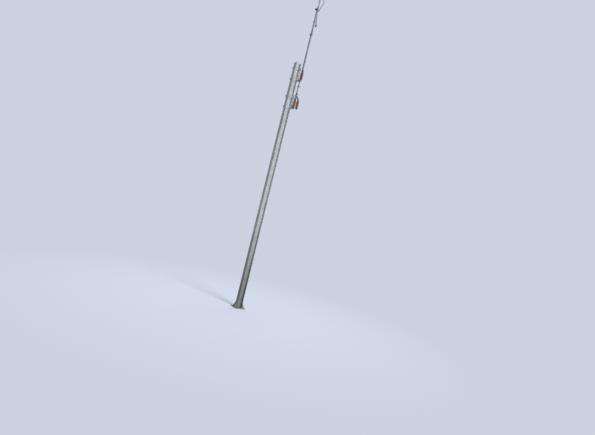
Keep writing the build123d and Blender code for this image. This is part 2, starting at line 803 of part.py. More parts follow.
def make_steady_arm():
    points = [(arm_hinge_x, arm_tip_z)]
    for x, drop in (arm_shoulder, arm_elbow, arm_foot):
        points.append((x, arm_tip_z + drop))
    first = Vector(points[1][0] - points[0][0], points[1][1] - points[0][1], 0).normalized()
    start = (points[0][0] + first.X * arm_eye_radius, points[0][1] + first.Y * arm_eye_radius)
    with BuildPart() as arm:
        with BuildLine(Plane.XZ.offset(-arm_y)) as path:
            FilletPolyline(start, *points[1:], radius=arm_bend_radius)
        with BuildSketch(Plane(origin=path.line @ 0, z_dir=path.line % 0)):
            Circle(arm_radius)
            Circle(arm_radius - arm_wall, mode=Mode.SUBTRACT)
        sweep()
    save(arm, "steady_arm_tube")
    with BuildPart() as eye:
        with BuildSketch(Plane.XZ.offset(-(arm_y + arm_eye_width / 2))):
            with Locations((arm_hinge_x, arm_tip_z)):
                Circle(arm_eye_radius)
        extrude(amount=arm_eye_width)
        with BuildSketch(Plane.XZ.offset(-arm_y)):
            with Locations((arm_hinge_x, arm_tip_z)):
                Circle(arm_pin_radius + running_clearance)
        extrude(amount=arm_eye_width, both=True, mode=Mode.SUBTRACT)
    save(eye, "steady_arm_eye")
    pin_start = registration_y - tip_plate_thickness / 2 - arm_pin_end
    pin_end = arm_y + arm_eye_width / 2 + arm_pin_end
    with BuildPart() as pin:
        with BuildSketch(Plane.XZ.offset(-pin_end)):
            with Locations((arm_hinge_x, arm_tip_z)):
                Circle(arm_pin_radius)
        extrude(amount=pin_end - pin_start)
    save(pin, "steady_arm_pin")
    clamp, groove = make_wire_clamp(path.line @ 1, path.line % 1)
    masses = [(arm.part, 2.7), (eye.part, 2.7), (clamp.part, 7.2)]
    weight = sum(piece.volume * density for piece, density in masses)
    middle = sum(piece.center(CenterOf.MASS).X * piece.volume * density for piece, density in masses) / weight
    print("steady arm hangs at", round(middle - arm_hinge_x, 2), "mm from its pin, wire groove", groove)


def make_wire_clamp(end, along):
    """The drop-shaped clamp on the arm's end: a socket, and the wire's groove across its foot."""
    across = Vector(0, 1, 0)
    seat = Plane(origin=end, z_dir=along)
    side = Plane(origin=end, x_dir=along, z_dir=across)
    bore = arm_radius + seat_clearance
    jaw_middle = wire_clamp_length - wire_clamp_jaw_height / 2
    groove = end + along * (wire_clamp_length - contact_groove_radius / 2)
    with BuildPart() as clamp:
        with BuildSketch(side):
            with Locations((wire_clamp_neck_radius, 0)):
                Circle(wire_clamp_neck_radius)
            with Locations((jaw_middle, 0)):
                RectangleRounded(wire_clamp_jaw_height, wire_clamp_depth, wire_clamp_corner)
            make_hull()
        extrude(amount=wire_clamp_jaw_width / 2, both=True)
        with BuildSketch(seat.offset(-wire_clamp_socket_depth)):
            Circle(bore + wire_clamp_socket_wall)
        extrude(amount=wire_clamp_socket_depth + wire_clamp_neck_radius)
        with BuildSketch(seat):
            Circle(bore)
        extrude(amount=-2 * wire_clamp_socket_depth, mode=Mode.SUBTRACT)
        with BuildSketch(Plane(origin=groove, z_dir=across)):
            Circle(contact_groove_radius)
        extrude(amount=wire_clamp_jaw_width, both=True, mode=Mode.SUBTRACT)
    save(clamp, "contact_wire_clamp")
    return clamp, groove


make_column()
make_base()
for bracket_name, bracket_levels in (("upper", upper_bracket_z), ("lower", lower_bracket_z)):
    make_bracket(f"{bracket_name}_bracket", bracket_levels)
    make_back_bar(f"{bracket_name}_bottom_back_bar", bracket_levels[0])
    make_back_bar(f"{bracket_name}_top_back_bar", bracket_levels[1])
    make_clamp_rods(f"{bracket_name}_clamp_rods", bracket_levels)
    make_swivel_pin(f"{bracket_name}_swivel_pin", bracket_levels)
make_swivel("upper", upper_bracket_z[0], stay_hinge_x, stay_y)
make_swivel("lower", lower_bracket_z[0], strut_hinge_x, strut_y)
make_stay()
make_strut()
make_hanging_insulator()
make_registration()
make_steady_arm()
print("strut folds", round(strut_fold, 3), "degrees, stay eye at", round(strut_eye_reach, 2))
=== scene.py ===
import bpy
import bmesh
import json
import math
from mathutils import Matrix, Vector


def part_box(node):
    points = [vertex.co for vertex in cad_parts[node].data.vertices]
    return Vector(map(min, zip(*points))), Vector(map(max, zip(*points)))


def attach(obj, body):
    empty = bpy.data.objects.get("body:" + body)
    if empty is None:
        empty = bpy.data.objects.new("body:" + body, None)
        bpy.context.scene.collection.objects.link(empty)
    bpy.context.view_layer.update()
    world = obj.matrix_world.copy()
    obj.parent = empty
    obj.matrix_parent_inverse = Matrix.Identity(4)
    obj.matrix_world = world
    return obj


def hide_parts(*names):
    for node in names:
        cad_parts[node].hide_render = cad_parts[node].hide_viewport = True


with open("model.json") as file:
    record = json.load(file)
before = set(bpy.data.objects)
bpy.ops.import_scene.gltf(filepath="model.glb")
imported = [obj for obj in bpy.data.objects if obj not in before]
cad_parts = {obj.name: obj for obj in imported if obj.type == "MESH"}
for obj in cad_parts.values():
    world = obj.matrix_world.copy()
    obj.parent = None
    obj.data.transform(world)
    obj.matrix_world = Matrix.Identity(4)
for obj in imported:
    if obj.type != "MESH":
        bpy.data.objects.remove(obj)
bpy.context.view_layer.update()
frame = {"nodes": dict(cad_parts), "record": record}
nodes = frame["nodes"]
scene = bpy.context.scene
scene.view_settings.view_transform = "Standard"
print("frame loaded,", len(nodes), "nodes")


def addObject(name, data):
    thing = bpy.data.objects.new(name, data)
    scene.collection.objects.link(thing)
    return thing


def rotation(degrees, axis):
    return Matrix.Rotation(math.radians(degrees), 4, axis)


# Helpers for node trees; an input is given a plain value, another node's output or a list of outputs
def feed(tree, socket, value):
    if isinstance(value, bpy.types.NodeSocket):
        value = [value]
    if isinstance(value, list):
        for source in value:
            tree.links.new(source, socket)
    elif socket.type == "RGBA":
        socket.default_value = (*value, 1)
    else:
        socket.default_value = value


def feedAll(tree, node, inputs):
    for key, value in inputs.items():
        feed(tree, node.inputs[key], value)


def addNode(tree, kind, inputs=None, **settings):
    # Makes a node, sets it, feeds it and gives back its outputs
    node = tree.nodes.new(kind)
    for label, value in settings.items():
        setattr(node, label, value)
    feedAll(tree, node, inputs or {})
    return node.outputs


def addShader(tree, kind, inputs=None, **settings):
    return addNode(tree, "ShaderNode" + kind, inputs, **settings)


def addGeometry(tree, kind, inputs=None, **settings):
    return addNode(tree, "GeometryNode" + kind, inputs, **settings)


def addMath(tree, operation, *values, clamp=False):
    return addShader(tree, "Math", dict(enumerate(values)), operation=operation, use_clamp=clamp)[0]


def times(tree, first, second):
    return addMath(tree, "MULTIPLY", first, second)


def plus(tree, first, second):
    return addMath(tree, "ADD", first, second)


def addRamp(tree, value, limits, interpolation="SMOOTHSTEP"):
    inputs = {"Value": value, "From Min": limits[0], "From Max": limits[1]}
    return addShader(tree, "MapRange", inputs, interpolation_type=interpolation)["Result"]


def objectPlace(tree):
    return addShader(tree, "TexCoord")["Object"]


def emptyTree(owner):
    owner.use_nodes = True
    owner.node_tree.nodes.clear()
    return owner.node_tree


# Camera: low, left of the mast and turned to the right of it, rolled as the mast leans in the photograph
photoView = {
    "azimuth": -26.0,
    "distance": 17.02,
    "height": 3.58,
    "turnRight": 4.62,
    "pitchUp": 0.8,
    "roll": 13.72,
    "focalPixels": 450.0,
    "frameWidth": 595.0,
    "sensorWidth": 36.0,
    "clipEnd": 200.0,
}


def makeCamera():
    data = bpy.data.cameras.new("camera")
    data.sensor_width = photoView["sensorWidth"]
    data.lens = photoView["focalPixels"] / photoView["frameWidth"] * data.sensor_width
    data.clip_end = photoView["clipEnd"]
    camera = addObject("camera", data)
    azimuth = math.radians(photoView["azimuth"])
    distance = photoView["distance"]
    camera.location = (math.sin(azimuth) * distance, -math.cos(azimuth) * distance, photoView["height"])
    turn = rotation(photoView["azimuth"] - photoView["turnRight"], "Z")
    level = rotation(90.0 + photoView["pitchUp"], "X")
    lean = rotation(photoView["roll"], "Z")
    camera.rotation_euler = (turn @ level @ lean).to_euler()
    scene.camera = camera


# Studio: a pale backdrop, a soft key on the web, a weaker lamp behind and a faint one on the flanges
studio = {
    "backdrop": (0.60, 0.64, 0.74),
    "fill": 0.16,
    "fillColor": (0.92, 0.96, 1.0),
    "lamps": {
        "keyLamp": {"strength": 2.35, "direction": (-0.14, 0.80, -0.50), "softness": 22.0},
        "backLamp": {"strength": 1.20, "direction": (-0.50, -0.75, -0.45), "softness": 80.0},
        "sideLamp": {"strength": 0.15, "direction": (0.60, 0.35, -0.40), "softness": 80.0},
    },
    "floorReach": 60.0,
    "floorLift": 0.36,
    "floorFade": (3.0, 9.0),
}


def addSun(name, settings):
    light = bpy.data.lights.new(name, "SUN")
    light.energy = settings["strength"]
    light.angle = math.radians(settings["softness"])
    lamp = addObject(name, light)
    lamp.rotation_euler = Vector(settings["direction"]).to_track_quat("-Z", "Y").to_euler()


def seenRays(tree):
    # One for the rays that show the background itself, zero for those that only light the object
    path = addShader(tree, "LightPath")
    seen = path["Is Camera Ray"]
    for kind in ("Is Glossy Ray", "Is Transmission Ray"):
        seen = addMath(tree, "MAXIMUM", seen, path[kind])
    return seen


def mixShaders(tree, factor, first, second):
    return addShader(tree, "MixShader", {"Fac": factor, 1: first[0], 2: second[0]})


def makeWorld():
    world = bpy.data.worlds.new("studio")
    tree = emptyTree(world)
    lit = addShader(tree, "Background", {"Color": studio["fillColor"], "Strength": studio["fill"]})
    seen = addShader(tree, "Background", {"Color": studio["backdrop"]})
    mix = mixShaders(tree, seenRays(tree), lit, seen)
    addShader(tree, "OutputWorld", {"Surface": mix[0]})
    scene.world = world


def makeFloor():
    # Paint near the mast, which keeps its shadow, fading into the backdrop's own colour
    reach = studio["floorReach"]
    mesh = bpy.data.meshes.new("floor")
    corners = [(-reach, -reach, 0), (reach, -reach, 0), (reach, reach, 0), (-reach, reach, 0)]
    mesh.from_pydata(corners, [], [(0, 1, 2, 3)])
    material = bpy.data.materials.new("floorPaint")
    tree = emptyTree(material)
    color = studio["backdrop"]
    paint = addShader(tree, "BsdfDiffuse", {"Color": color})
    glow = addShader(tree, "Emission", {"Color": color})
    lift = addShader(tree, "Emission", {"Color": color, "Strength": studio["floorLift"]})
    near = addShader(tree, "AddShader", {0: paint[0], 1: lift[0]})
    length = addShader(tree, "VectorMath", {0: objectPlace(tree)}, operation="LENGTH")["Value"]
    shown = mixShaders(tree, addRamp(tree, length, studio["floorFade"], "LINEAR"), near, glow)
    mix = mixShaders(tree, seenRays(tree), paint, shown)
    addShader(tree, "OutputMaterial", {"Surface": mix[0]})
    mesh.materials.append(material)
    addObject("floor", mesh)


makeCamera()
makeWorld()
makeFloor()
for lampName, lampSettings in studio["lamps"].items():
    addSun(lampName, lampSettings)
print("studio ready")


# A pattern is noise on the object's own coordinates, cut to the limits between which it fades in
def stretched(tree, scale):
    return addShader(tree, "Mapping", {"Vector": objectPlace(tree), "Scale": scale})["Vector"]


def addPattern(tree, pattern, scale=None):
    noise = addShader(tree, "TexNoise", {
        "Vector": stretched(tree, pattern.get("stretch", (1, 1, 1))),
        "Scale": scale or pattern.get("scale", 1.0),
        "Detail": pattern["detail"],
        "Roughness": pattern["roughness"],
    })["Fac"]
    return addRamp(tree, noise, pattern["limits"]) if "limits" in pattern else noise


def addMix(tree, factor, first, second):
    # Sockets 6, 7 and 2 are the Mix node's colours A, B and result
    return addShader(tree, "Mix", {0: factor, 6: first, 7: second}, data_type="RGBA")[2]


def newGroup(name, inputs, outputs=("Color", "Mask")):
    group = bpy.data.node_groups.new(name, "ShaderNodeTree")
    for label, value in inputs.items():
        isColor = isinstance(value, tuple)
        kind = "NodeSocketColor" if isColor else "NodeSocketFloat"
        socket = group.interface.new_socket(label, in_out="INPUT", socket_type=kind)
        socket.default_value = (*value, 1) if isColor else value
    for label in outputs:
        kind = "NodeSocketColor" if label == "Color" else "NodeSocketFloat"
        group.interface.new_socket(label, in_out="OUTPUT", socket_type=kind)
    return group, addNode(group, "NodeGroupInput")


def endTinting(group, given, pattern, color):
    # Lays a colour over the given one where the pattern says, and hands that mask on
    mask = times(group, pattern, given["Amount"])
    tinted = addMix(group, mask, given["Color"], color)
    addNode(group, "NodeGroupOutput", {"Color": tinted, "Mask": mask})
    return group


# Weathered zinc: soft mottle, spangle, rain runs and dull streaks down the steel
patina = {
    "mottle": {"scale": 3.1, "detail": 6.0, "roughness": 0.62, "limits": (0.35, 0.68)},
    "cloud": {"stretch": (7, 7, 2.2), "detail": 4.0, "roughness": 0.6, "limits": (0.4, 0.7)},
    "streak": {"stretch": (26, 26, 0.55), "detail": 5.0, "roughness": 0.6, "limits": (0.42, 0.72)},
    "runs": {"stretch": (60, 60, 1.6), "detail": 3.0, "roughness": 0.5, "limits": (0.5, 0.8)},
    "mottleShare": 0.55,
    "cloudShare": 0.35,
    "spangleShare": 0.14,
    "runShare": 0.25,
    "paleGain": 1.45,
    "roughness": 0.44,
    "mottleRoughness": 0.18,
    "spangleRelief": 0.3,
}


def makeZincPatina():
    group, given = newGroup(
        "zincPatina",
        {"Bright": (0.5, 0.5, 0.5), "Dull": (0.3, 0.3, 0.3), "Spangle": 90.0, "Streak": 0.5},
        ("Color", "Roughness", "Height"),
    )
    plain = stretched(group, (1, 1, 1))
    crystals = addShader(group, "TexVoronoi", {"Vector": plain, "Scale": given["Spangle"]})
    tone = addShader(group, "SeparateColor", {0: crystals["Color"]})
    mottle = addPattern(group, patina["mottle"])
    cloud = addPattern(group, patina["cloud"])
    streak = addPattern(group, patina["streak"])
    runs = addPattern(group, patina["runs"])
    soft = plus(group, times(group, mottle, patina["mottleShare"]), times(group, cloud, patina["cloudShare"]))
    color = addMix(group, soft, given["Bright"], given["Dull"])
    color = addMix(group, times(group, streak, given["Streak"]), color, given["Dull"])
    gain = {0: given["Bright"], "Scale": patina["paleGain"]}
    pale = addShader(group, "VectorMath", gain, operation="SCALE")[0]
    color = addMix(group, times(group, tone[0], patina["spangleShare"]), color, pale)
    color = addMix(group, times(group, runs, patina["runShare"]), color, pale)
    addNode(group, "NodeGroupOutput", {
        "Color": color,
        "Roughness": plus(group, times(group, mottle, patina["mottleRoughness"]), patina["roughness"]),
        "Height": plus(group, times(group, tone[1], patina["spangleRelief"]), mottle),
    })
    return group


# Painted shade that darkens what stands near the ground, up to about three metres
groundShade = {
    "cloud": {"stretch": (9, 9, 1.1), "detail": 5.0, "roughness": 0.62},
    "color": (0.115, 0.115, 0.105),
    "reach": 3.2,
    "amount": 0.7,
    "unevenness": 1.6,
    "depth": 1.42,
}


def makePaintedGroundShade():
    group, given = newGroup(
        "groundGrime", {"Color": (0.5, 0.5, 0.5), "Reach": groundShade["reach"], "Amount": groundShade["amount"]},
    )
    height = addShader(group, "SeparateXYZ", {0: objectPlace(group)})["Z"]
    edge = plus(group, height, times(group, addPattern(group, groundShade["cloud"]), groundShade["unevenness"]))
    share = addMath(group, "DIVIDE", edge, given["Reach"])
    # Mask of the painted shade, full near the ground and gone above the reach
    dust = addMath(group, "SUBTRACT", groundShade["depth"], share, clamp=True)
    return endTinting(group, given, dust, groundShade["color"])


# Small brown blooms, for bolts and castings
bloom = {"spots": {"detail": 6.0, "roughness": 0.7, "limits": (0.56, 0.7)}, "color": (0.16, 0.07, 0.035)}


def makeRustBloom():
    group, given = newGroup("rustBloom", {"Color": (0.3, 0.3, 0.3), "Amount": 0.3, "Scale": 30.0})
    return endTinting(group, given, addPattern(group, bloom["spots"], given["Scale"]), bloom["color"])


# Edges rubbed bare, broken up so that no edge is worn all along
rubbing = {
    "samples": 6,
    "width": 0.003,
    "bend": (0.004, 0.07),
    "breaks": {"scale": 38.0, "detail": 4.0, "roughness": 0.65, "limits": (0.36, 0.62)},
}


def makeRubbedEdges():
    group, given = newGroup("rubbedEdges", {
        "Color": (0.3, 0.3, 0.3), "Bare": (0.5, 0.5, 0.5), "Width": rubbing["width"], "Amount": 0.6,
    })
    rounded = addShader(group, "Bevel", {"Radius": given["Width"]}, samples=rubbing["samples"])
    face = addShader(group, "NewGeometry")
    normals = {0: rounded["Normal"], 1: face["Normal"]}
    likeness = addShader(group, "VectorMath", normals, operation="DOT_PRODUCT")["Value"]
    edge = addRamp(group, addMath(group, "SUBTRACT", 1.0, likeness), rubbing["bend"])
    worn = times(group, edge, addPattern(group, rubbing["breaks"]))
    return endTinting(group, given, worn, given["Bare"])


zincPatina = makeZincPatina()
groundGrime = makePaintedGroundShade()
rustBloom = makeRustBloom()
rubbedEdges = makeRubbedEdges()


def startMaterial(name):
    material = bpy.data.materials.new(name)
    material.use_nodes = True
    return material, material.node_tree, material.node_tree.nodes["Principled BSDF"]


def addGroup(tree, group, inputs):
    return addShader(tree, "Group", inputs, node_tree=group)


def addBump(tree, shader, height, strength, distance):
    bump = addShader(tree, "Bump", {"Strength": strength, "Distance": distance, "Height": height})
    feed(tree, shader.inputs["Normal"], bump["Normal"])


finishes = {
    "galvanisedSection": {
        "bright": (0.57, 0.60, 0.59), "dull": (0.37, 0.39, 0.40), "bare": (0.66, 0.69, 0.69), "rubbed": 0.5,
        "spangle": 70.0, "streak": 0.50, "rust": 0.10, "rustScale": 7.0,
        "metallic": 0.08, "grain": 0.25, "gloss": 0.25,
    },
    "galvanisedTube": {
        "bright": (0.30, 0.32, 0.34), "dull": (0.17, 0.19, 0.21), "bare": (0.46, 0.48, 0.50), "rubbed": 0.5,
        "spangle": 120.0, "streak": 0.40, "rust": 0.15, "rustScale": 12.0,
        "metallic": 0.35, "grain": 0.20, "gloss": 0.4,
    },
    "castFitting": {
        "bright": (0.10, 0.11, 0.105), "dull": (0.045, 0.052, 0.05), "bare": (0.34, 0.36, 0.36), "rubbed": 0.8,
        "spangle": 240.0, "streak": 0.30, "rust": 0.35, "rustScale": 26.0,
        "metallic": 0.30, "grain": 0.55, "gloss": 0.35,
    },
    "bracketSteel": {
        "bright": (0.42, 0.44, 0.44), "dull": (0.23, 0.25, 0.26), "bare": (0.60, 0.62, 0.62), "rubbed": 0.7,
        "spangle": 90.0, "streak": 0.45, "rust": 0.20, "rustScale": 15.0,
        "metallic": 0.25, "grain": 0.30, "gloss": 0.3,
    },
    "zincBolt": {
        "bright": (0.33, 0.34, 0.35), "dull": (0.14, 0.14, 0.15), "bare": (0.52, 0.53, 0.54), "rubbed": 0.7,
        "spangle": 260.0, "streak": 0.30, "rust": 0.45, "rustScale": 40.0,
        "metallic": 0.50, "grain": 0.20, "gloss": 0.5,
    },
    "freshZinc": {
        "bright": (0.58, 0.60, 0.61), "dull": (0.36, 0.38, 0.39), "bare": (0.68, 0.70, 0.71), "rubbed": 0.7,
        "spangle": 260.0, "streak": 0.30, "rust": 0.25, "rustScale": 40.0,
        "metallic": 0.30, "grain": 0.20, "gloss": 0.4,
    },
    "dullAluminium": {
        "bright": (0.24, 0.26, 0.28), "dull": (0.12, 0.13, 0.15), "bare": (0.36, 0.38, 0.40), "rubbed": 0.6,
        "spangle": 300.0, "streak": 0.50, "rust": 0.0, "rustScale": 20.0,
        "metallic": 0.30, "grain": 0.12, "gloss": 0.35,
    },
    "weldSteel": {
        "bright": (0.45, 0.46, 0.46), "dull": (0.22, 0.23, 0.24), "bare": (0.55, 0.56, 0.56), "rubbed": 0.4,
        "spangle": 150.0, "streak": 0.30, "rust": 0.30, "rustScale": 30.0,
        "metallic": 0.25, "grain": 0.45, "gloss": 0.35,
    },
}
# dustRoughness: roughness added under the painted shade near the ground
zincSurface = {"dustRoughness": 0.25, "rustRoughness": 0.4, "rubbedPolish": 0.18, "reliefDepth": 0.0006}


def makeZinc(name, settings):
    material, tree, shader = startMaterial(name)
    zinc = addGroup(tree, zincPatina, {
        "Bright": settings["bright"], "Dull": settings["dull"],
        "Spangle": settings["spangle"], "Streak": settings["streak"],
    })
    rust = addGroup(tree, rustBloom, {
        "Color": zinc["Color"], "Amount": settings["rust"], "Scale": settings["rustScale"],
    })
    worn = addGroup(tree, rubbedEdges, {
        "Color": rust["Color"], "Bare": settings["bare"], "Amount": settings["rubbed"],
    })
    # Painted shade over the lower few metres of every zinc finish
    shadeTinted = addGroup(tree, groundGrime, {"Color": worn["Color"]})
    rough = plus(tree, zinc["Roughness"], times(tree, shadeTinted["Mask"], zincSurface["dustRoughness"]))
    rough = plus(tree, rough, times(tree, rust["Mask"], zincSurface["rustRoughness"]))
    polished = times(tree, worn["Mask"], zincSurface["rubbedPolish"])
    feedAll(tree, shader, {
        "Base Color": shadeTinted["Color"],
        "Roughness": addMath(tree, "SUBTRACT", rough, polished),
        "Metallic": settings["metallic"],
        "Specular IOR Level": settings["gloss"],
    })
    addBump(tree, shader, zinc["Height"], settings["grain"], zincSurface["reliefDepth"])
    return material


glaze = {
    "deep": (0.33, 0.145, 0.062),
    "warm": (0.54, 0.275, 0.130),
    "dust": (0.34, 0.30, 0.26),
    "speckle": (0.06, 0.02, 0.01),
    "flowPattern": {"scale": 16.0, "detail": 4.0, "roughness": 0.6, "limits": (0.35, 0.7)},
    "specklePattern": {"scale": 190.0, "detail": 2.0, "roughness": 0.5, "limits": (0.62, 0.75)},
    "dustPattern": {"stretch": (9, 9, 4), "detail": 5.0, "roughness": 0.6, "limits": (0.45, 0.75)},
    "ripplePattern": {"scale": 60.0, "detail": 2.0, "roughness": 0.5},
    "speckleShare": 0.4,
    "dustShare": 0.25,
    "roughness": 0.20,
    "dustRoughness": 0.3,
    "coat": 0.4,
    "coatRoughness": 0.12,
    "ripple": 0.12,
    "rippleDepth": 0.0004,
}


def makeGlaze():
    material, tree, shader = startMaterial("brownGlaze")
    flow = addPattern(tree, glaze["flowPattern"])
    speckle = times(tree, addPattern(tree, glaze["specklePattern"]), glaze["speckleShare"])
    dust = addPattern(tree, glaze["dustPattern"])
    color = addMix(tree, flow, glaze["deep"], glaze["warm"])
    color = addMix(tree, speckle, color, glaze["speckle"])
    feedAll(tree, shader, {
        "Base Color": addMix(tree, times(tree, dust, glaze["dustShare"]), color, glaze["dust"]),
        "Roughness": plus(tree, times(tree, dust, glaze["dustRoughness"]), glaze["roughness"]),
        "Coat Weight": glaze["coat"],
        "Coat Roughness": glaze["coatRoughness"],
    })
    addBump(tree, shader, addPattern(tree, glaze["ripplePattern"]), glaze["ripple"], glaze["rippleDepth"])
    return material


cement = {
    "pale": (0.50, 0.48, 0.44),
    "dark": (0.26, 0.25, 0.23),
    "grit": {"scale": 120.0, "detail": 5.0, "roughness": 0.7, "limits": (0.35, 0.7)},
    "roughness": 0.9,
    "relief": 0.5,
    "reliefDepth": 0.0008,
}


def makeCement():
    material, tree, shader = startMaterial("cement")
    grit = addPattern(tree, cement["grit"])
    color = addMix(tree, grit, cement["pale"], cement["dark"])
    feedAll(tree, shader, {"Base Color": color, "Roughness": cement["roughness"]})
    addBump(tree, shader, grit, cement["relief"], cement["reliefDepth"])
    return material


materials = {name: makeZinc(name, settings) for name, settings in finishes.items()}
materials["brownGlaze"] = makeGlaze()
materials["cement"] = makeCement()
slotFinish = {
    "galvanised_section": "galvanisedSection",
    "galvanised_tube": "galvanisedTube",
    "cast_fitting": "castFitting",
    "zinc_bolt": "zincBolt",
    "brown_glaze": "brownGlaze",
    "aluminium": "dullAluminium",
}
slotOf = {part["node"]: part["material_slot"] for part in frame["record"]["subparts"]}
bodies = frame["record"]["behaviour"]["bodies"]
bodyOf = {member: body for body, members in bodies.items() for member in members}


def finishFrame():
    for node, slot in slotOf.items():
        finish = slotFinish[slot]
        if slot == "galvanised_section" and "bracket" in node:
            finish = "bracketSteel"
        nodes[node].data.materials.clear()
        nodes[node].data.materials.append(materials[finish])


finishFrame()
print("finishes on the frame")


# Mesh helpers
def addPiece(name, mesh, finish, body, slot, *replaced, sharp=40):
    # sharp: the angle in degrees from which an edge shows, or None where the mesh has its own edges
    mesh.materials.clear()
    mesh.materials.append(materials[finish])
    if sharp:
        mesh.shade_smooth()
        mesh.set_sharp_from_angle(angle=math.radians(sharp))
    piece = addObject(name, mesh)
    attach(piece, body)
    if replaced:
        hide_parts(*replaced)


def evaluatedMesh(piece, name):
    # The finished piece as a plain mesh, with the object itself taken away
    depsgraph = bpy.context.evaluated_depsgraph_get()
    mesh = bpy.data.meshes.new_from_object(piece.evaluated_get(depsgraph), depsgraph=depsgraph)
    bpy.data.objects.remove(piece)
    mesh.name = name
    return mesh


def closeShape(name, shape):
    mesh = bpy.data.meshes.new(name)
    shape.to_mesh(mesh)
    shape.free()
    return mesh


def middleOf(node):
    return [(low + high) / 2 for low, high in zip(*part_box(node))]


def closeSurface(shape, distance):
    bmesh.ops.remove_doubles(shape, verts=shape.verts, dist=distance)
    bmesh.ops.recalc_face_normals(shape, faces=shape.faces)


def addRing(shape, steps, height, radiusAt):
    ring = []
    for step in range(steps):
        angle = 2 * math.pi * step / steps
        radius = radiusAt(angle)
        ring.append(shape.verts.new((radius * math.cos(angle), radius * math.sin(angle), height)))
    return ring


def latheMesh(name, profile, steps, axis="Z", place=(0, 0, 0)):
    # Turns a closed or pole-to-pole profile of (radius, height) about the axis
    near = 1e-7
    shape = bmesh.new()
    rings = []
    for radius, height in profile:
        if radius < near:
            rings.append([shape.verts.new((0, 0, height))])
        else:
            rings.append(addRing(shape, steps, height, lambda angle: radius))
    for lower, upper in zip(rings, rings[1:]):
        for step in range(steps):
            after = step + 1
            corners = [lower[step % len(lower)], lower[after % len(lower)],
                       upper[after % len(upper)], upper[step % len(upper)]]
            unique = list(dict.fromkeys(corners))
            if len(unique) > 2:
                shape.faces.new(unique)
    closeSurface(shape, near)
    mesh = closeShape(name, shape)
    if axis == "X":
        mesh.transform(rotation(90, "Y"))
    if axis == "Y":
        mesh.transform(rotation(-90, "X"))
    mesh.transform(Matrix.Translation(place))
    return mesh


def joinMeshes(name, meshes):
    shape = bmesh.new()
    for mesh in meshes:
        shape.from_mesh(mesh)
        bpy.data.meshes.remove(mesh)
    return closeShape(name, shape)


# Castings and cut plates get their worn, rounded edges from a merged copy of their CAD mesh
edgeWear = {
    "bevelAngle": 32.0,
    "bevelSegments": 2,
    "mergeDistance": 1e-6,
    "flatAngle": 0.5,
    "section": 0.0015,
    "base": 0.002,
    "plates": 0.0015,
    "castings": 0.002,
    "small": 0.0012,
}
softened = {
    "column": "section", "base_plate": "base", "base_gussets": "plates",
    "upper_bracket": "plates", "lower_bracket": "plates",
    "upper_bottom_back_bar": "plates", "upper_top_back_bar": "plates",
    "lower_bottom_back_bar": "plates", "lower_top_back_bar": "plates",
    "upper_swivel_block": "castings", "lower_swivel_block": "castings",
    "stay_tongue_cap": "castings", "stay_tube_cap": "small",
    "strut_tongue_cap": "castings", "strut_tube_cap": "small",
    "strut_lower_ring": "small", "strut_middle_ring": "small", "stay_clamp": "small",
    "messenger_saddle": "small", "registration_clamp": "castings", "hanger_clamp": "small",
    "hanging_top_cap": "castings", "hanging_end_cap": "small",
    "registration_eye": "small", "stay_end_eye": "small", "arm_bracket": "small",
    "steady_arm_eye": "small", "contact_wire_clamp": "small",
}


def mergedCopy(node):
    shape = bmesh.new()
    shape.from_mesh(nodes[node].data)
    bmesh.ops.remove_doubles(shape, verts=shape.verts, dist=edgeWear["mergeDistance"])
    flat = math.radians(edgeWear["flatAngle"])
    bmesh.ops.dissolve_limit(shape, angle_limit=flat, verts=shape.verts, edges=shape.edges)
    return closeShape(node + "Soft", shape)


def softenNode(node, width):
    finish = nodes[node].data.materials[0].name
    draft = addObject(node + "Draft", mergedCopy(node))
    bevel = draft.modifiers.new("wornEdges", "BEVEL")
    bevel.width = width
    bevel.segments = edgeWear["bevelSegments"]
    bevel.limit_method = "ANGLE"
    bevel.angle_limit = math.radians(edgeWear["bevelAngle"])
    bevel.use_clamp_overlap = True
    weighted = draft.modifiers.new("flatFaces", "WEIGHTED_NORMAL")
    weighted.keep_sharp = True
    draft.data.shade_smooth()
    name = node + "Worn"
    addPiece(name, evaluatedMesh(draft, name), finish, bodyOf[node], slotOf[node], node, sharp=None)


for softNode, wearKind in softened.items():
    softenNode(softNode, edgeWear[wearKind])
print("edges worn on", len(softened), "pieces")


# Geometry trees are fed by name, and end in real meshes with their finish on them
def newGeometryTree(name, inputs):
    tree = bpy.data.node_groups.new(name, "GeometryNodeTree")
    sockets = [("Geometry", "INPUT", "Geometry")]
    sockets += [(label, "INPUT", kind) for label, kind in inputs.items()]
    sockets += [("Finish", "INPUT", "Material"), ("Geometry", "OUTPUT", "Geometry")]
    for label, way, kind in sockets:
        tree.interface.new_socket(label, in_out=way, socket_type="NodeSocket" + kind)
    return tree, addNode(tree, "NodeGroupInput")


def paintOut(tree, given, geometry):
    paint = addGeometry(tree, "SetMaterial", {"Geometry": geometry, "Material": given["Finish"]})
    addNode(tree, "NodeGroupOutput", {0: paint[0]})
    return tree


def addTree(piece, tree, values):
    modifier = piece.modifiers.new(tree.name, "NODES")
    modifier.node_group = tree
    for item in tree.interface.items_tree:
        if item.in_out == "INPUT" and item.name in values:
            modifier[item.identifier] = values[item.name]


# Insulators: one shed is turned, and repeated up the rod
insulator = {
    "nodes": ("stay_insulator", "strut_insulator", "hanging_insulator"),
    "steps": 64,
    "coreRadius": 0.036,
    "pitch": 0.034,
    "sheds": 7,
    "length": 0.290,
    "shedStart": 0.030,
    "profile": [
        (36.0, 0.0), (36.0, 6.0), (37.0, 10.2), (40.0, 12.6), (43.0, 13.0), (46.0, 12.0), (48.5, 12.7),
        (51.0, 11.4), (54.0, 11.2), (57.0, 9.6), (60.5, 8.6), (62.6, 8.4), (63.8, 9.4), (63.9, 10.9),
        (62.6, 12.6), (59.0, 13.6), (53.0, 15.2), (47.5, 17.6), (42.5, 20.8), (38.8, 24.6), (36.6, 28.4),
        (36.0, 31.0), (36.0, 34.0),
    ],
    "mergeDistance": 1e-5,
    "sharpAngle": 50,
    "cementRadius": 0.0415,
    "cementTop": 0.002,
    "cementHeight": 0.0035,
    "cementInset": 0.024,
}


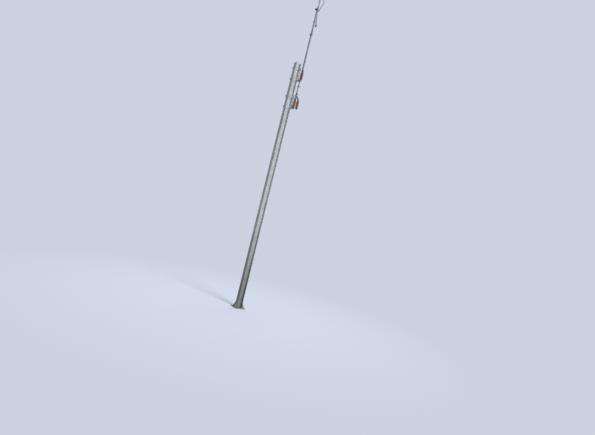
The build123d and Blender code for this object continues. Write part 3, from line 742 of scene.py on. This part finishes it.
def smoothProfile(points):
    # Cuts every corner once, with both ends kept
    cut = [points[0]]
    for (r0, h0), (r1, h1) in zip(points, points[1:]):
        cut.append((0.75 * r0 + 0.25 * r1, 0.75 * h0 + 0.25 * h1))
        cut.append((0.25 * r0 + 0.75 * r1, 0.25 * h0 + 0.75 * h1))
    return cut + [points[-1]]


def makeShedTree():
    tree, given = newGeometryTree("repeatSheds", {
        "Shed": "Object", "Count": "Int", "Pitch": "Float", "Start": "Float",
    })
    start = addShader(tree, "CombineXYZ", {"Z": given["Start"]})
    step = addShader(tree, "CombineXYZ", {"Z": given["Pitch"]})
    line = addGeometry(tree, "MeshLine", {
        "Count": given["Count"], "Start Location": start[0], "Offset": step[0],
    })
    shed = addGeometry(tree, "ObjectInfo", {"Object": given["Shed"]})
    stamp = addGeometry(tree, "InstanceOnPoints", {"Points": line["Mesh"], "Instance": shed["Geometry"]})
    real = addGeometry(tree, "RealizeInstances", {0: stamp[0]})
    both = addGeometry(tree, "JoinGeometry", {0: [real[0], given["Geometry"]]})
    merge = {"Geometry": both[0], "Distance": insulator["mergeDistance"]}
    return paintOut(tree, given, addGeometry(tree, "MergeByDistance", merge)[0])


shedTree = makeShedTree()


def shedRod(node):
    # One mesh of the glazed body, standing on the origin
    core = insulator["coreRadius"]
    steps = insulator["steps"]
    profile = smoothProfile([(r / 1000, h / 1000) for r, h in insulator["profile"]])
    shed = addObject("shed", latheMesh("shed", profile, steps))
    start = insulator["shedStart"]
    top = start + insulator["sheds"] * insulator["pitch"]
    end = insulator["length"]
    foot = latheMesh("foot", [(0, 0), (core, 0), (core, start)], steps)
    head = latheMesh("head", [(core, top), (core, end), (0, end)], steps)
    rod = addObject(node + "Draft", joinMeshes("ends", [foot, head]))
    addTree(rod, shedTree, {
        "Shed": shed, "Count": insulator["sheds"], "Pitch": insulator["pitch"],
        "Start": start, "Finish": materials["brownGlaze"],
    })
    mesh = evaluatedMesh(rod, node + "Glazed")
    bpy.data.objects.remove(shed)
    shape = bmesh.new()
    shape.from_mesh(mesh)
    closeSurface(shape, insulator["mergeDistance"])
    shape.to_mesh(mesh)
    shape.free()
    return mesh


def makeInsulator(node):
    low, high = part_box(node)
    x, y, _ = middleOf(node)
    mesh = shedRod(node)
    mesh.transform(Matrix.Translation((x, y, low.z)))
    angle = insulator["sharpAngle"]
    addPiece(mesh.name, mesh, "brownGlaze", bodyOf[node], slotOf[node], node, sharp=angle)
    core = insulator["coreRadius"]
    height = insulator["cementHeight"]
    ring = [(core, 0), (insulator["cementRadius"], 0), (core + insulator["cementTop"], height),
            (core, height), (core, 0)]
    inset = insulator["cementInset"]
    rings = []
    for z, way in ((low.z + inset, 1), (high.z - inset, -1)):
        profile = [(r, way * h) for r, h in ring]
        rings.append(latheMesh("cementRing", profile, insulator["steps"], place=(x, y, z)))
    addPiece(node + "Cement", joinMeshes("cement", rings), "cement", bodyOf[node], "cast_fitting")


for insulatorNode in insulator["nodes"]:
    makeInsulator(insulatorNode)
print("insulators turned")


# Fasteners: each kind is one small mesh, planted on its places by geometry nodes
fastener = {
    "hexSteps": 36,
    "shankSteps": 20,
    "chamfer": 0.06,
    "chamferMiddle": 0.45,
    "faceRadius": 0.93,
    "shoulderRadius": 1.02,
    "cornerRadius": 1.2,
    "threadPitch": 0.002,
    "threadDepth": 0.35,
    "threadPoint": 0.6,
    "threadHidden": 0.001,
    "washerThickness": 0.003,
    "washerRatio": 1.25,
    "washerEdge": 0.2,
    "sharpAngle": 28,
}
# width: across the flats; shank: radius; proud: how far the thread stands out of its nut
boltSizes = {
    "pinch": {"width": 0.016, "head": 0.0065, "nut": 0.008, "shank": 0.005, "proud": 0.006},
    "sleeve": {"width": 0.018, "head": 0.0075, "nut": 0.010, "shank": 0.006, "proud": 0.005},
    "small": {"width": 0.013, "head": 0.005, "nut": 0.0065, "shank": 0.004, "proud": 0.004},
}


def hexMesh(name, acrossFlats, height, domed):
    # A hexagon with its corners turned off at both ends, as on a nut, or at the top only, as on a bolt head
    flat = acrossFlats / 2
    chamfer = fastener["chamfer"] * acrossFlats
    middle = chamfer * fastener["chamferMiddle"]
    face, shoulder, corner = (flat * fastener[k] for k in ("faceRadius", "shoulderRadius", "cornerRadius"))
    levels = [(corner, 0.0)] if domed else [(face, 0.0), (shoulder, middle), (corner, chamfer)]
    levels += [(corner, height - chamfer), (shoulder, height - middle), (face, height)]
    steps = fastener["hexSteps"]
    sector = math.pi / 3

    def radiusAt(angle):
        inside = (angle + sector / 2) % sector - sector / 2
        return min(flat / math.cos(inside), limit)

    shape = bmesh.new()
    rings = []
    for limit, z in levels:
        rings.append(addRing(shape, steps, z, radiusAt))
    for lower, upper in zip(rings, rings[1:]):
        for step in range(steps):
            after = (step + 1) % steps
            shape.faces.new((lower[step], lower[after], upper[after], upper[step]))
    shape.faces.new(reversed(rings[0]))
    shape.faces.new(rings[-1])
    return closeShape(name, shape)


def washerMesh(name, radius, bore, thickness):
    edge = min(thickness, fastener["washerThickness"]) * fastener["washerEdge"]
    profile = [(bore, 0), (radius - edge, 0), (radius, edge), (radius, thickness - edge),
               (radius - edge, thickness), (bore, thickness), (bore, 0)]
    return latheMesh(name, profile, fastener["hexSteps"])


def threadProfile(radius, start, end):
    # Ridges of a screw thread from start to end, with the point turned off
    pitch = fastener["threadPitch"]
    depth = pitch * fastener["threadDepth"]
    profile = []
    height = start
    while height + pitch < end - pitch:
        profile += [(radius - depth, height), (radius, height + pitch / 2)]
        height += pitch
    point = end - pitch * fastener["threadPoint"]
    return profile + [(radius - depth, height), (radius - depth, point), (radius - 2 * depth, end)]


def washerAndHex(width, height, shank, domed=False, ratio=fastener["washerRatio"]):
    # A washer on the clamped face, with a nut or a bolt's head on it
    thick = fastener["washerThickness"]
    hexagon = hexMesh("hexagon", width, height, domed)
    hexagon.transform(Matrix.Translation((0, 0, thick)))
    return [washerMesh("washer", width / 2 * ratio, shank, thick), hexagon]


def nutSet(use):
    bolt = boltSizes[use]
    top = fastener["washerThickness"] + bolt["nut"]
    start = top - fastener["threadHidden"]
    end = top + bolt["proud"]
    profile = [(0, start)] + threadProfile(bolt["shank"], start, end) + [(0, end)]
    threadEnd = latheMesh("threadEnd", profile, fastener["shankSteps"])
    return joinMeshes("nutSet", washerAndHex(bolt["width"], bolt["nut"], bolt["shank"]) + [threadEnd])


def headSet(use):
    bolt = boltSizes[use]
    return joinMeshes("headSet", washerAndHex(bolt["width"], bolt["head"], bolt["shank"], domed=True))


# A split pin through a pin's end: an eye on one side and two spread legs on the other
splitPin = {
    "wire": 0.0016,
    "wireSides": 2,
    "overhang": 0.004,
    "legGap": 0.9,
    "legBend": 0.002,
    "legLength": 0.010,
    "legSpread": 0.007,
    "eye": [(0.004, 0.0035), (0.009, 0.0045), (0.0125, 0.0025), (0.0135, 0.0)],
}


def cotterMesh(pinRadius):
    reach = pinRadius + splitPin["overhang"]
    inner = splitPin["wire"] * splitPin["legGap"]
    line = [(-reach - splitPin["legLength"], splitPin["legSpread"]), (-reach - splitPin["legBend"], inner),
            (reach, inner)]
    line += [(reach + along, aside) for along, aside in splitPin["eye"]]
    meshes = []
    for side in (-1, 1):
        leg = bpy.data.curves.new("leg", "CURVE")
        leg.dimensions = "3D"
        leg.bevel_depth = splitPin["wire"]
        leg.bevel_resolution = splitPin["wireSides"]
        leg.use_fill_caps = True
        spline = leg.splines.new("POLY")
        spline.points.add(len(line) - 1)
        for point, (along, aside) in zip(spline.points, line):
            point.co = (along, side * aside, 0, 1)
        meshes.append(evaluatedMesh(addObject("leg", leg), "leg"))
    return joinMeshes("cotter", meshes)


def makePlantTree():
    tree, given = newGeometryTree("plantFasteners", {"Fastener": "Object"})
    single = addGeometry(tree, "ObjectInfo", {"Object": given["Fastener"]})
    facing = addGeometry(tree, "InputNamedAttribute", {"Name": "facing"}, data_type="FLOAT_VECTOR")
    spin = addGeometry(tree, "InputNamedAttribute", {"Name": "spin"}, data_type="FLOAT")
    align = addNode(tree, "FunctionNodeAlignRotationToVector", {"Vector": facing[0]}, axis="Z")
    about = addNode(tree, "FunctionNodeAxisAngleToRotation", {"Axis": (0, 0, 1), "Angle": spin[0]})
    turns = {0: align[0], 1: about[0]}
    turned = addNode(tree, "FunctionNodeRotateRotation", turns, rotation_space="LOCAL")
    stamp = addGeometry(tree, "InstanceOnPoints", {
        "Points": given["Geometry"], "Instance": single["Geometry"], "Rotation": turned[0],
    })
    return paintOut(tree, given, addGeometry(tree, "RealizeInstances", {0: stamp[0]})[0])


plantTree = makePlantTree()


def plant(name, fastenerMesh, body, places, finish="zincBolt"):
    # places: (point, direction that the fastener stands up in, turn about it in degrees)
    mesh = bpy.data.meshes.new(name + "Spots")
    mesh.from_pydata([tuple(place[0]) for place in places], [], [])
    mesh.attributes.new("facing", "FLOAT_VECTOR", "POINT")
    mesh.attributes.new("spin", "FLOAT", "POINT")
    facing = [value for place in places for value in place[1]]
    mesh.attributes["facing"].data.foreach_set("vector", facing)
    mesh.attributes["spin"].data.foreach_set("value", [math.radians(place[2]) for place in places])
    spots = addObject(name + "Spots", mesh)
    single = addObject(name + "One", fastenerMesh)
    addTree(spots, plantTree, {"Fastener": single, "Finish": materials[finish]})
    planted = evaluatedMesh(spots, name)
    bpy.data.objects.remove(single)
    addPiece(name, planted, finish, body, "zinc_bolt", sharp=fastener["sharpAngle"])


# Clamp rods round the column: threaded at both ends, with a nut and washer on each face
clampRod = {
    "radius": 0.008,
    "nutWidth": 0.024,
    "nutHeight": 0.013,
    "washerRatio": 1.24,
    "threadLength": 0.055,
    "cornerReach": 0.013856,
    "plateThickness": 0.012,
    "sharpAngle": 45,
    "turnStep": 23,
    "backTurn": 17,
}


def makeClampRods(level):
    node = level + "_clamp_rods"
    low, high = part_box(node)
    x = middleOf(node)[0]
    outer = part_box(level + "_bracket")[0].x + clampRod["plateThickness"]
    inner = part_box(level + "_top_back_bar")[0].x
    rodY = high.y - clampRod["cornerReach"]
    half = clampRod["nutWidth"] / 2
    spots = [(y, z) for y in (-rodY, rodY) for z in (low.z + half, high.z - half)]
    end = (high.x - low.x) / 2
    ridges = threadProfile(clampRod["radius"], end - clampRod["threadLength"], end)
    mirrored = [(r, -h) for r, h in reversed(ridges)]
    profile = [(0, -end)] + mirrored + ridges + [(0, end)]
    rods = [latheMesh("rod", profile, fastener["shankSteps"], "X", (x, y, z)) for y, z in spots]
    name = node + "Threaded"
    angle = clampRod["sharpAngle"]
    addPiece(name, joinMeshes(name, rods), "freshZinc", bodyOf[node], slotOf[node], node, sharp=angle)
    nutHeight = clampRod["nutHeight"] - fastener["washerThickness"]
    nut = washerAndHex(clampRod["nutWidth"], nutHeight, clampRod["radius"], ratio=clampRod["washerRatio"])
    places = []
    for number, (y, z) in enumerate(spots):
        turn = number * clampRod["turnStep"]
        places.append(((outer, y, z), (1, 0, 0), turn))
        places.append(((inner, y, z), (-1, 0, 0), turn + clampRod["backTurn"]))
    plant(node + "Nuts", joinMeshes("nutOnRod", nut), "mast", places, "freshZinc")


makeClampRods("upper")
makeClampRods("lower")
print("clamp rods and nuts on")


# Pinch bolts in the sockets and rings, whose ears stand on one side of the strut
pinch = {
    "rings": {
        "strut_lower_ring": {"side": 1, "drop": 0.022},
        "strut_middle_ring": {"side": 1, "drop": 0.022},
        "stay_clamp": {"side": 1, "drop": 0.024},
        "messenger_saddle": {"side": 1, "drop": 0.022},
        "registration_clamp": {"side": 1, "drop": 0.022},
        "hanger_clamp": {"side": -1, "drop": 0.022},
    },
    "earHalf": 0.013,
    "shankRadius": 0.0048,
    "shankHalf": 0.0135,
    "ringBoltReach": 0.04545,
    "capEarInset": 0.010,
    "capEarLevels": (0.058, 0.098),
    "firstTurn": 8,
    "turnStep": 19,
}


def pinchPlaces():
    # (node, x, z) of every pinch bolt
    found = []
    for node, ring in pinch["rings"].items():
        x = middleOf("strut_tube")[0] + ring["side"] * pinch["ringBoltReach"]
        found.append((node, x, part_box(node)[1].z - ring["drop"]))
    for node, corner, inward in (("stay_tube_cap", 1, -1), ("strut_tube_cap", 0, 1)):
        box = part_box(node)
        x = box[corner].x + inward * pinch["capEarInset"]
        found += [(node, x, box[0].z + level) for level in pinch["capEarLevels"]]
    return found


def makePinchBolts():
    half = pinch["shankHalf"]
    rod = [(0, -half), (pinch["shankRadius"], -half), (pinch["shankRadius"], half), (0, half)]
    for body in ("strut", "stay"):
        y = middleOf(body + "_tube")[1]
        heads = []
        nuts = []
        shanks = []
        turn = pinch["firstTurn"]
        for node, x, z in pinchPlaces():
            if bodyOf[node] != body:
                continue
            heads.append(((x, y - pinch["earHalf"], z), (0, -1, 0), turn))
            nuts.append(((x, y + pinch["earHalf"], z), (0, 1, 0), turn * 2))
            shanks.append(latheMesh("shank", rod, fastener["shankSteps"], "Y", (x, y, z)))
            turn += pinch["turnStep"]
        plant(body + "PinchHeads", headSet("pinch"), body, heads)
        plant(body + "PinchNuts", nutSet("pinch"), body, nuts)
        addPiece(body + "PinchShanks", joinMeshes("shanks", shanks), "zincBolt", body, "zinc_bolt")


makePinchBolts()
print("pinch bolts on")


# Split pins and washers on the free ends of the hinge pins and the lower ends of the swivel pins
hingePins = {
    "radius": 0.010,
    "washerRadius": 0.017,
    "hinge": {"end": 0.009, "washer": 0.0025, "splitPin": 0.0058, "turn": 62},
    "swivel": {"end": 0.022, "washer": 0.003, "splitPin": 0.011, "turn": 35},
}


def keepPin(node, face, out, settings):
    # face: the point at the pin's middle where the washer lies; out: the way to the pin's end
    washer = washerMesh("washer", hingePins["washerRadius"], hingePins["radius"], settings["washer"])
    plant(node + "Washer", washer, bodyOf[node], [(face, out, 0)])
    place = [at + way * settings["splitPin"] for at, way in zip(face, out)]
    plant(node + "SplitPin", cotterMesh(hingePins["radius"]), bodyOf[node], [(place, out, settings["turn"])])


def makePinKeepers():
    hinge = hingePins["hinge"]
    for node in ("upper_hinge_pin", "lower_hinge_pin", "registration_hinge_pin", "hanger_pin"):
        x, _, z = middleOf(node)
        keepPin(node, (x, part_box(node)[1].y - hinge["end"], z), (0, 1, 0), hinge)
    swivel = hingePins["swivel"]
    for node in ("upper_swivel_pin", "lower_swivel_pin"):
        keepPin(node, (middleOf(node)[0], 0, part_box(node)[0].z + swivel["end"]), (0, 0, -1), swivel)


# The steady arm's pin: a split pin and washer at each end, and a spacer between the plate and the arm's eye
armPin = {
    "washerRadius": 0.0145,
    "washerThickness": 0.0025,
    "inset": 0.0035,
    "plateFrom": 0.008,
    "plateTo": 0.022,
    "spacerRadius": 0.0125,
    "gap": 0.0005,
    "turn": 5,
}


def makeArmPinParts():
    low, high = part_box("steady_arm_pin")
    x, _, z = middleOf("steady_arm_pin")
    radius = (high.x - low.x) / 2
    eyeLow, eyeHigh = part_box("steady_arm_eye")
    plateStart = low.y + armPin["plateFrom"]
    plateEnd = low.y + armPin["plateTo"]
    washer = washerMesh("washer", armPin["washerRadius"], radius, armPin["washerThickness"])
    plant("armPinWashers", washer, "registration", [
        ((x, plateStart, z), (0, -1, 0), 0), ((x, eyeHigh.y + armPin["gap"], z), (0, 1, 0), 0),
    ])
    plant("armPinSplitPins", cotterMesh(radius), "registration", [
        ((x, low.y + armPin["inset"], z), (0, -1, 0), armPin["turn"]),
        ((x, high.y - armPin["inset"], z), (0, 1, 0), armPin["turn"]),
    ])
    length = eyeLow.y - armPin["gap"] - plateEnd
    spacer = washerMesh("spacer", armPin["spacerRadius"], radius, length)
    spacer.transform(Matrix.Translation((x, plateEnd, z)) @ rotation(-90, "X"))
    addPiece("armSpacer", spacer, "zincBolt", "registration", "zinc_bolt")


makePinKeepers()
makeArmPinParts()
print("split pins on")


# Through-bolts in the sleeves of the stay's eye and of both ends of the registration tube
# end: 0 for the tube's lower end and 1 for its upper one; out: the way in plan to the bolts' heads
sleeveBolts = {
    "stayEye": {"tube": "stay_tube", "end": 1, "insets": (-0.035, -0.085), "radius": 0.0238, "out": (1, 0),
                "headTurn": 10, "nutTurn": 25},
    "sleeve": {"tube": "registration_tube", "end": 0, "insets": (0.022, 0.060), "radius": 0.0258,
               "out": (0, -1), "headTurn": 10, "nutTurn": 25},
    "tip": {"tube": "registration_tube", "end": 1, "insets": (-0.068, -0.020), "radius": 0.0278,
            "out": (0, -1), "headTurn": 40, "nutTurn": 5},
}


def boltSleeve(name, sleeve):
    tube = sleeve["tube"]
    x, y, _ = middleOf(tube)
    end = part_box(tube)[sleeve["end"]].z
    radius = sleeve["radius"]
    for kind, mesh, side, turn in (
        ("Heads", headSet("sleeve"), 1, sleeve["headTurn"]),
        ("Nuts", nutSet("sleeve"), -1, sleeve["nutTurn"]),
    ):
        outX, outY = (side * part for part in sleeve["out"])
        spots = [(x + radius * outX, y + radius * outY, end + inset) for inset in sleeve["insets"]]
        plant(name + kind, mesh, bodyOf[tube], [(spot, (outX, outY, 0), turn) for spot in spots])


for sleeveName, sleeveSettings in sleeveBolts.items():
    boltSleeve(sleeveName, sleeveSettings)
print("sleeve bolts on")


# Weld beads, swept along the joints of the mast's foot and the lugs
weld = {
    "bead": 0.0055,
    "ribBead": 0.004,
    "step": 0.004,
    "ripple": 0.16,
    "rippleTurn": 2.1,
    "beadSides": 8,
    "sharpAngle": 60,
}


def makeWeldTree():
    tree, given = newGeometryTree("weldBead", {"Bead": "Float", "Step": "Float", "Ripple": "Float"})
    curve = addGeometry(tree, "MeshToCurve", {"Mesh": given["Geometry"]})
    sample = addGeometry(tree, "ResampleCurve", {"Curve": curve[0], "Length": given["Step"]}, mode="LENGTH")
    index = addGeometry(tree, "InputIndex")
    wave = addMath(tree, "SINE", times(tree, index[0], weld["rippleTurn"]))
    size = times(tree, addMath(tree, "MULTIPLY_ADD", wave, given["Ripple"], 1.0), given["Bead"])
    circle = addGeometry(tree, "CurvePrimitiveCircle", {"Resolution": weld["beadSides"]})
    sweep = addGeometry(tree, "CurveToMesh", {
        "Curve": sample[0], "Profile Curve": circle["Curve"], "Scale": size, "Fill Caps": True,
    })
    return paintOut(tree, given, addGeometry(tree, "RealizeInstances", {0: sweep[0]})[0])


weldTree = makeWeldTree()


def layWelds(name, runs, bead):
    # runs: lists of points in metres, each welded from its first to its last
    points = []
    edges = []
    for run in runs:
        first = len(points)
        points.extend(run)
        edges.extend((first + k, first + k + 1) for k in range(len(run) - 1))
    mesh = bpy.data.meshes.new(name)
    mesh.from_pydata(points, edges, [])
    path = addObject(name + "Path", mesh)
    addTree(path, weldTree, {
        "Bead": bead, "Step": weld["step"], "Ripple": weld["ripple"], "Finish": materials["weldSteel"],
    })
    swept = evaluatedMesh(path, name)
    addPiece(name, swept, "weldSteel", "mast", "galvanised_section", sharp=weld["sharpAngle"])


# Round the column's foot: along the outside of each flange, and inside it round the root of the web
columnWeld = {
    "lift": 0.001,
    "offset": 0.001,
    "flange": 0.015,
    "inside": [(0.001, 0.024), (0.006, 0.012), (0.018, 0.0065)],
    "offMiddle": 0.0065,
}


def columnRuns():
    low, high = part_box("column")
    z = low.z + columnWeld["lift"]
    outer = high.x + columnWeld["offset"]
    inner = high.x - columnWeld["flange"]
    runs = []
    for side in (-1, 1):
        runs.append([(side * outer, -high.y, z), (side * outer, high.y, z)])
        for way in (-1, 1):
            run = [(side * (inner - columnWeld["offset"]), way * high.y, z)]
            run += [(side * (inner - back), way * y, z) for back, y in columnWeld["inside"]]
            runs.append(run + [(0.0, way * columnWeld["offMiddle"], z)])
    return runs


# Along both sides of each rib, on the base plate and up the flange
ribWeld = {"inset": 0.006, "half": 0.007, "lift": 0.001, "start": 0.020, "footEnd": 0.002, "topEnd": 0.003}


def gussetRuns():
    low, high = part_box("base_gussets")
    foot = low.z + ribWeld["lift"]
    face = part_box("column")[1].x
    wall = face + columnWeld["offset"]
    runs = []
    for side in (-1, 1):
        for middle in (low.y + ribWeld["inset"], high.y - ribWeld["inset"]):
            for y in (middle - ribWeld["half"], middle + ribWeld["half"]):
                runs.append([(side * (face + ribWeld["start"]), y, foot),
                             (side * (high.x - ribWeld["footEnd"]), y, foot)])
                runs.append([(side * wall, y, low.z + ribWeld["start"]),
                             (side * wall, y, high.z - ribWeld["topEnd"])])
    return runs


# Along the lugs of a bracket, with a gap below each for its rib, and down both sides of the rib
lugWeld = {
    "plate": 0.0125,
    "lowerLug": 0.030,
    "upperLug": 0.017,
    "half": 0.0085,
    "halfWidth": 0.040,
    "ribGap": 0.006,
    "ribHalf": 0.0055,
    "ribFrom": 0.010,
    "ribTo": 0.034,
}


def lugRuns(level):
    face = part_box(level + "_bracket")[0].x + lugWeld["plate"]
    pinLow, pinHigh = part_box(level + "_swivel_pin")
    width = lugWeld["halfWidth"]
    gap = lugWeld["ribGap"]
    runs = []
    for middle in (pinLow.z + lugWeld["lowerLug"], pinHigh.z - lugWeld["upperLug"]):
        under = middle - lugWeld["half"]
        over = middle + lugWeld["half"]
        for start, end, z in ((-width, -gap, under), (gap, width, under), (-width, width, over)):
            runs.append([(face, start, z), (face, end, z)])
        for y in (-lugWeld["ribHalf"], lugWeld["ribHalf"]):
            runs.append([(face, y, middle - lugWeld["ribFrom"]), (face, y, middle - lugWeld["ribTo"])])
    return runs


layWelds("columnWelds", columnRuns(), weld["bead"])
layWelds("gussetWelds", gussetRuns(), weld["ribBead"])
layWelds("upperLugWelds", lugRuns("upper"), weld["ribBead"])
layWelds("lowerLugWelds", lugRuns("lower"), weld["ribBead"])
print("welds laid")


# The keeper plate on the saddle, with a bolt at each corner
keeper = {
    "thickness": 0.006,
    "width": 0.056,
    "height": 0.044,
    "rounding": 0.0018,
    "roundingSteps": 3,
    "boltsAcross": 0.018,
    "boltsUp": 0.015,
    "turn": 15,
}


def makeSaddleKeeper():
    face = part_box("messenger_saddle")[0].x
    _, y, z = middleOf("messenger_saddle")
    thick = keeper["thickness"]
    shape = bmesh.new()
    sizes = Matrix.Diagonal((thick, keeper["width"], keeper["height"], 1))
    bmesh.ops.create_cube(shape, size=1.0, matrix=sizes)
    bmesh.ops.bevel(shape, geom=shape.edges[:], offset=keeper["rounding"], segments=keeper["roundingSteps"],
                    affect="EDGES", profile=0.5)
    plate = closeShape("keeper", shape)
    plate.transform(Matrix.Translation((face - thick / 2, y, z)))
    addPiece("saddleKeeper", plate, "castFitting", "strut", "cast_fitting")
    places = []
    for side in (-1, 1):
        for up in (-1, 1):
            spot = (face - thick, y + side * keeper["boltsAcross"], z + up * keeper["boltsUp"])
            places.append((spot, (-1, 0, 0), keeper["turn"]))
    plant("keeperBolts", headSet("small"), "strut", places)


# The plug in the strut's open end; rim: (radius beyond the tube's outside, height above the tube's end)
plug = {
    "rim": [(-0.0042, -0.004), (-0.0042, 0.0004), (0.0006, 0.0004), (0.0008, 0.0024), (-0.003, 0.0048)],
    "crown": 0.5,
    "rise": 0.006,
    "steps": 48,
}


def makeTubePlug():
    low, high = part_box("strut_tube")
    x, y, _ = middleOf("strut_tube")
    radius = (high.x - low.x) / 2
    profile = [(0, plug["rim"][0][1])] + [(radius + beyond, height) for beyond, height in plug["rim"]]
    profile += [(radius * plug["crown"], plug["rise"]), (0, plug["rise"])]
    mesh = latheMesh("strutPlug", profile, plug["steps"], place=(x, y, high.z))
    addPiece("strutPlug", mesh, "galvanisedTube", "strut", "galvanised_tube")


# Two bolts through the jaws of the contact wire's clamp, square to the arm's lean
jaw = {
    "along": (0.1562, 0, -0.9877),
    "across": (0.9877, 0, 0.1562),
    "aboveGroove": 0.024,
    "boltSpread": 0.013,
    "half": 0.0215,
    "firstTurn": 12,
    "headTurnStep": 30,
    "nutTurnStep": 40,
}


def makeJawBolts():
    mounts = frame["record"]["mounts"]
    groove = Vector(next(mount["pos_m"] for mount in mounts if mount["name"] == "contact_wire_groove"))
    across = Vector(jaw["across"])
    middle = groove - Vector(jaw["along"]) * jaw["aboveGroove"]
    heads = []
    nuts = []
    for number, side in enumerate((-1, 1)):
        spot = middle + Vector((0, side * jaw["boltSpread"], 0))
        heads.append((spot + across * jaw["half"], across, jaw["firstTurn"] + jaw["headTurnStep"] * number))
        nuts.append((spot - across * jaw["half"], -across, jaw["nutTurnStep"] * number))
    plant("jawHeads", headSet("small"), "steady_arm", heads)
    plant("jawNuts", nutSet("small"), "steady_arm", nuts)


makeSaddleKeeper()
makeTubePlug()
makeJawBolts()
print("wire fittings finished")
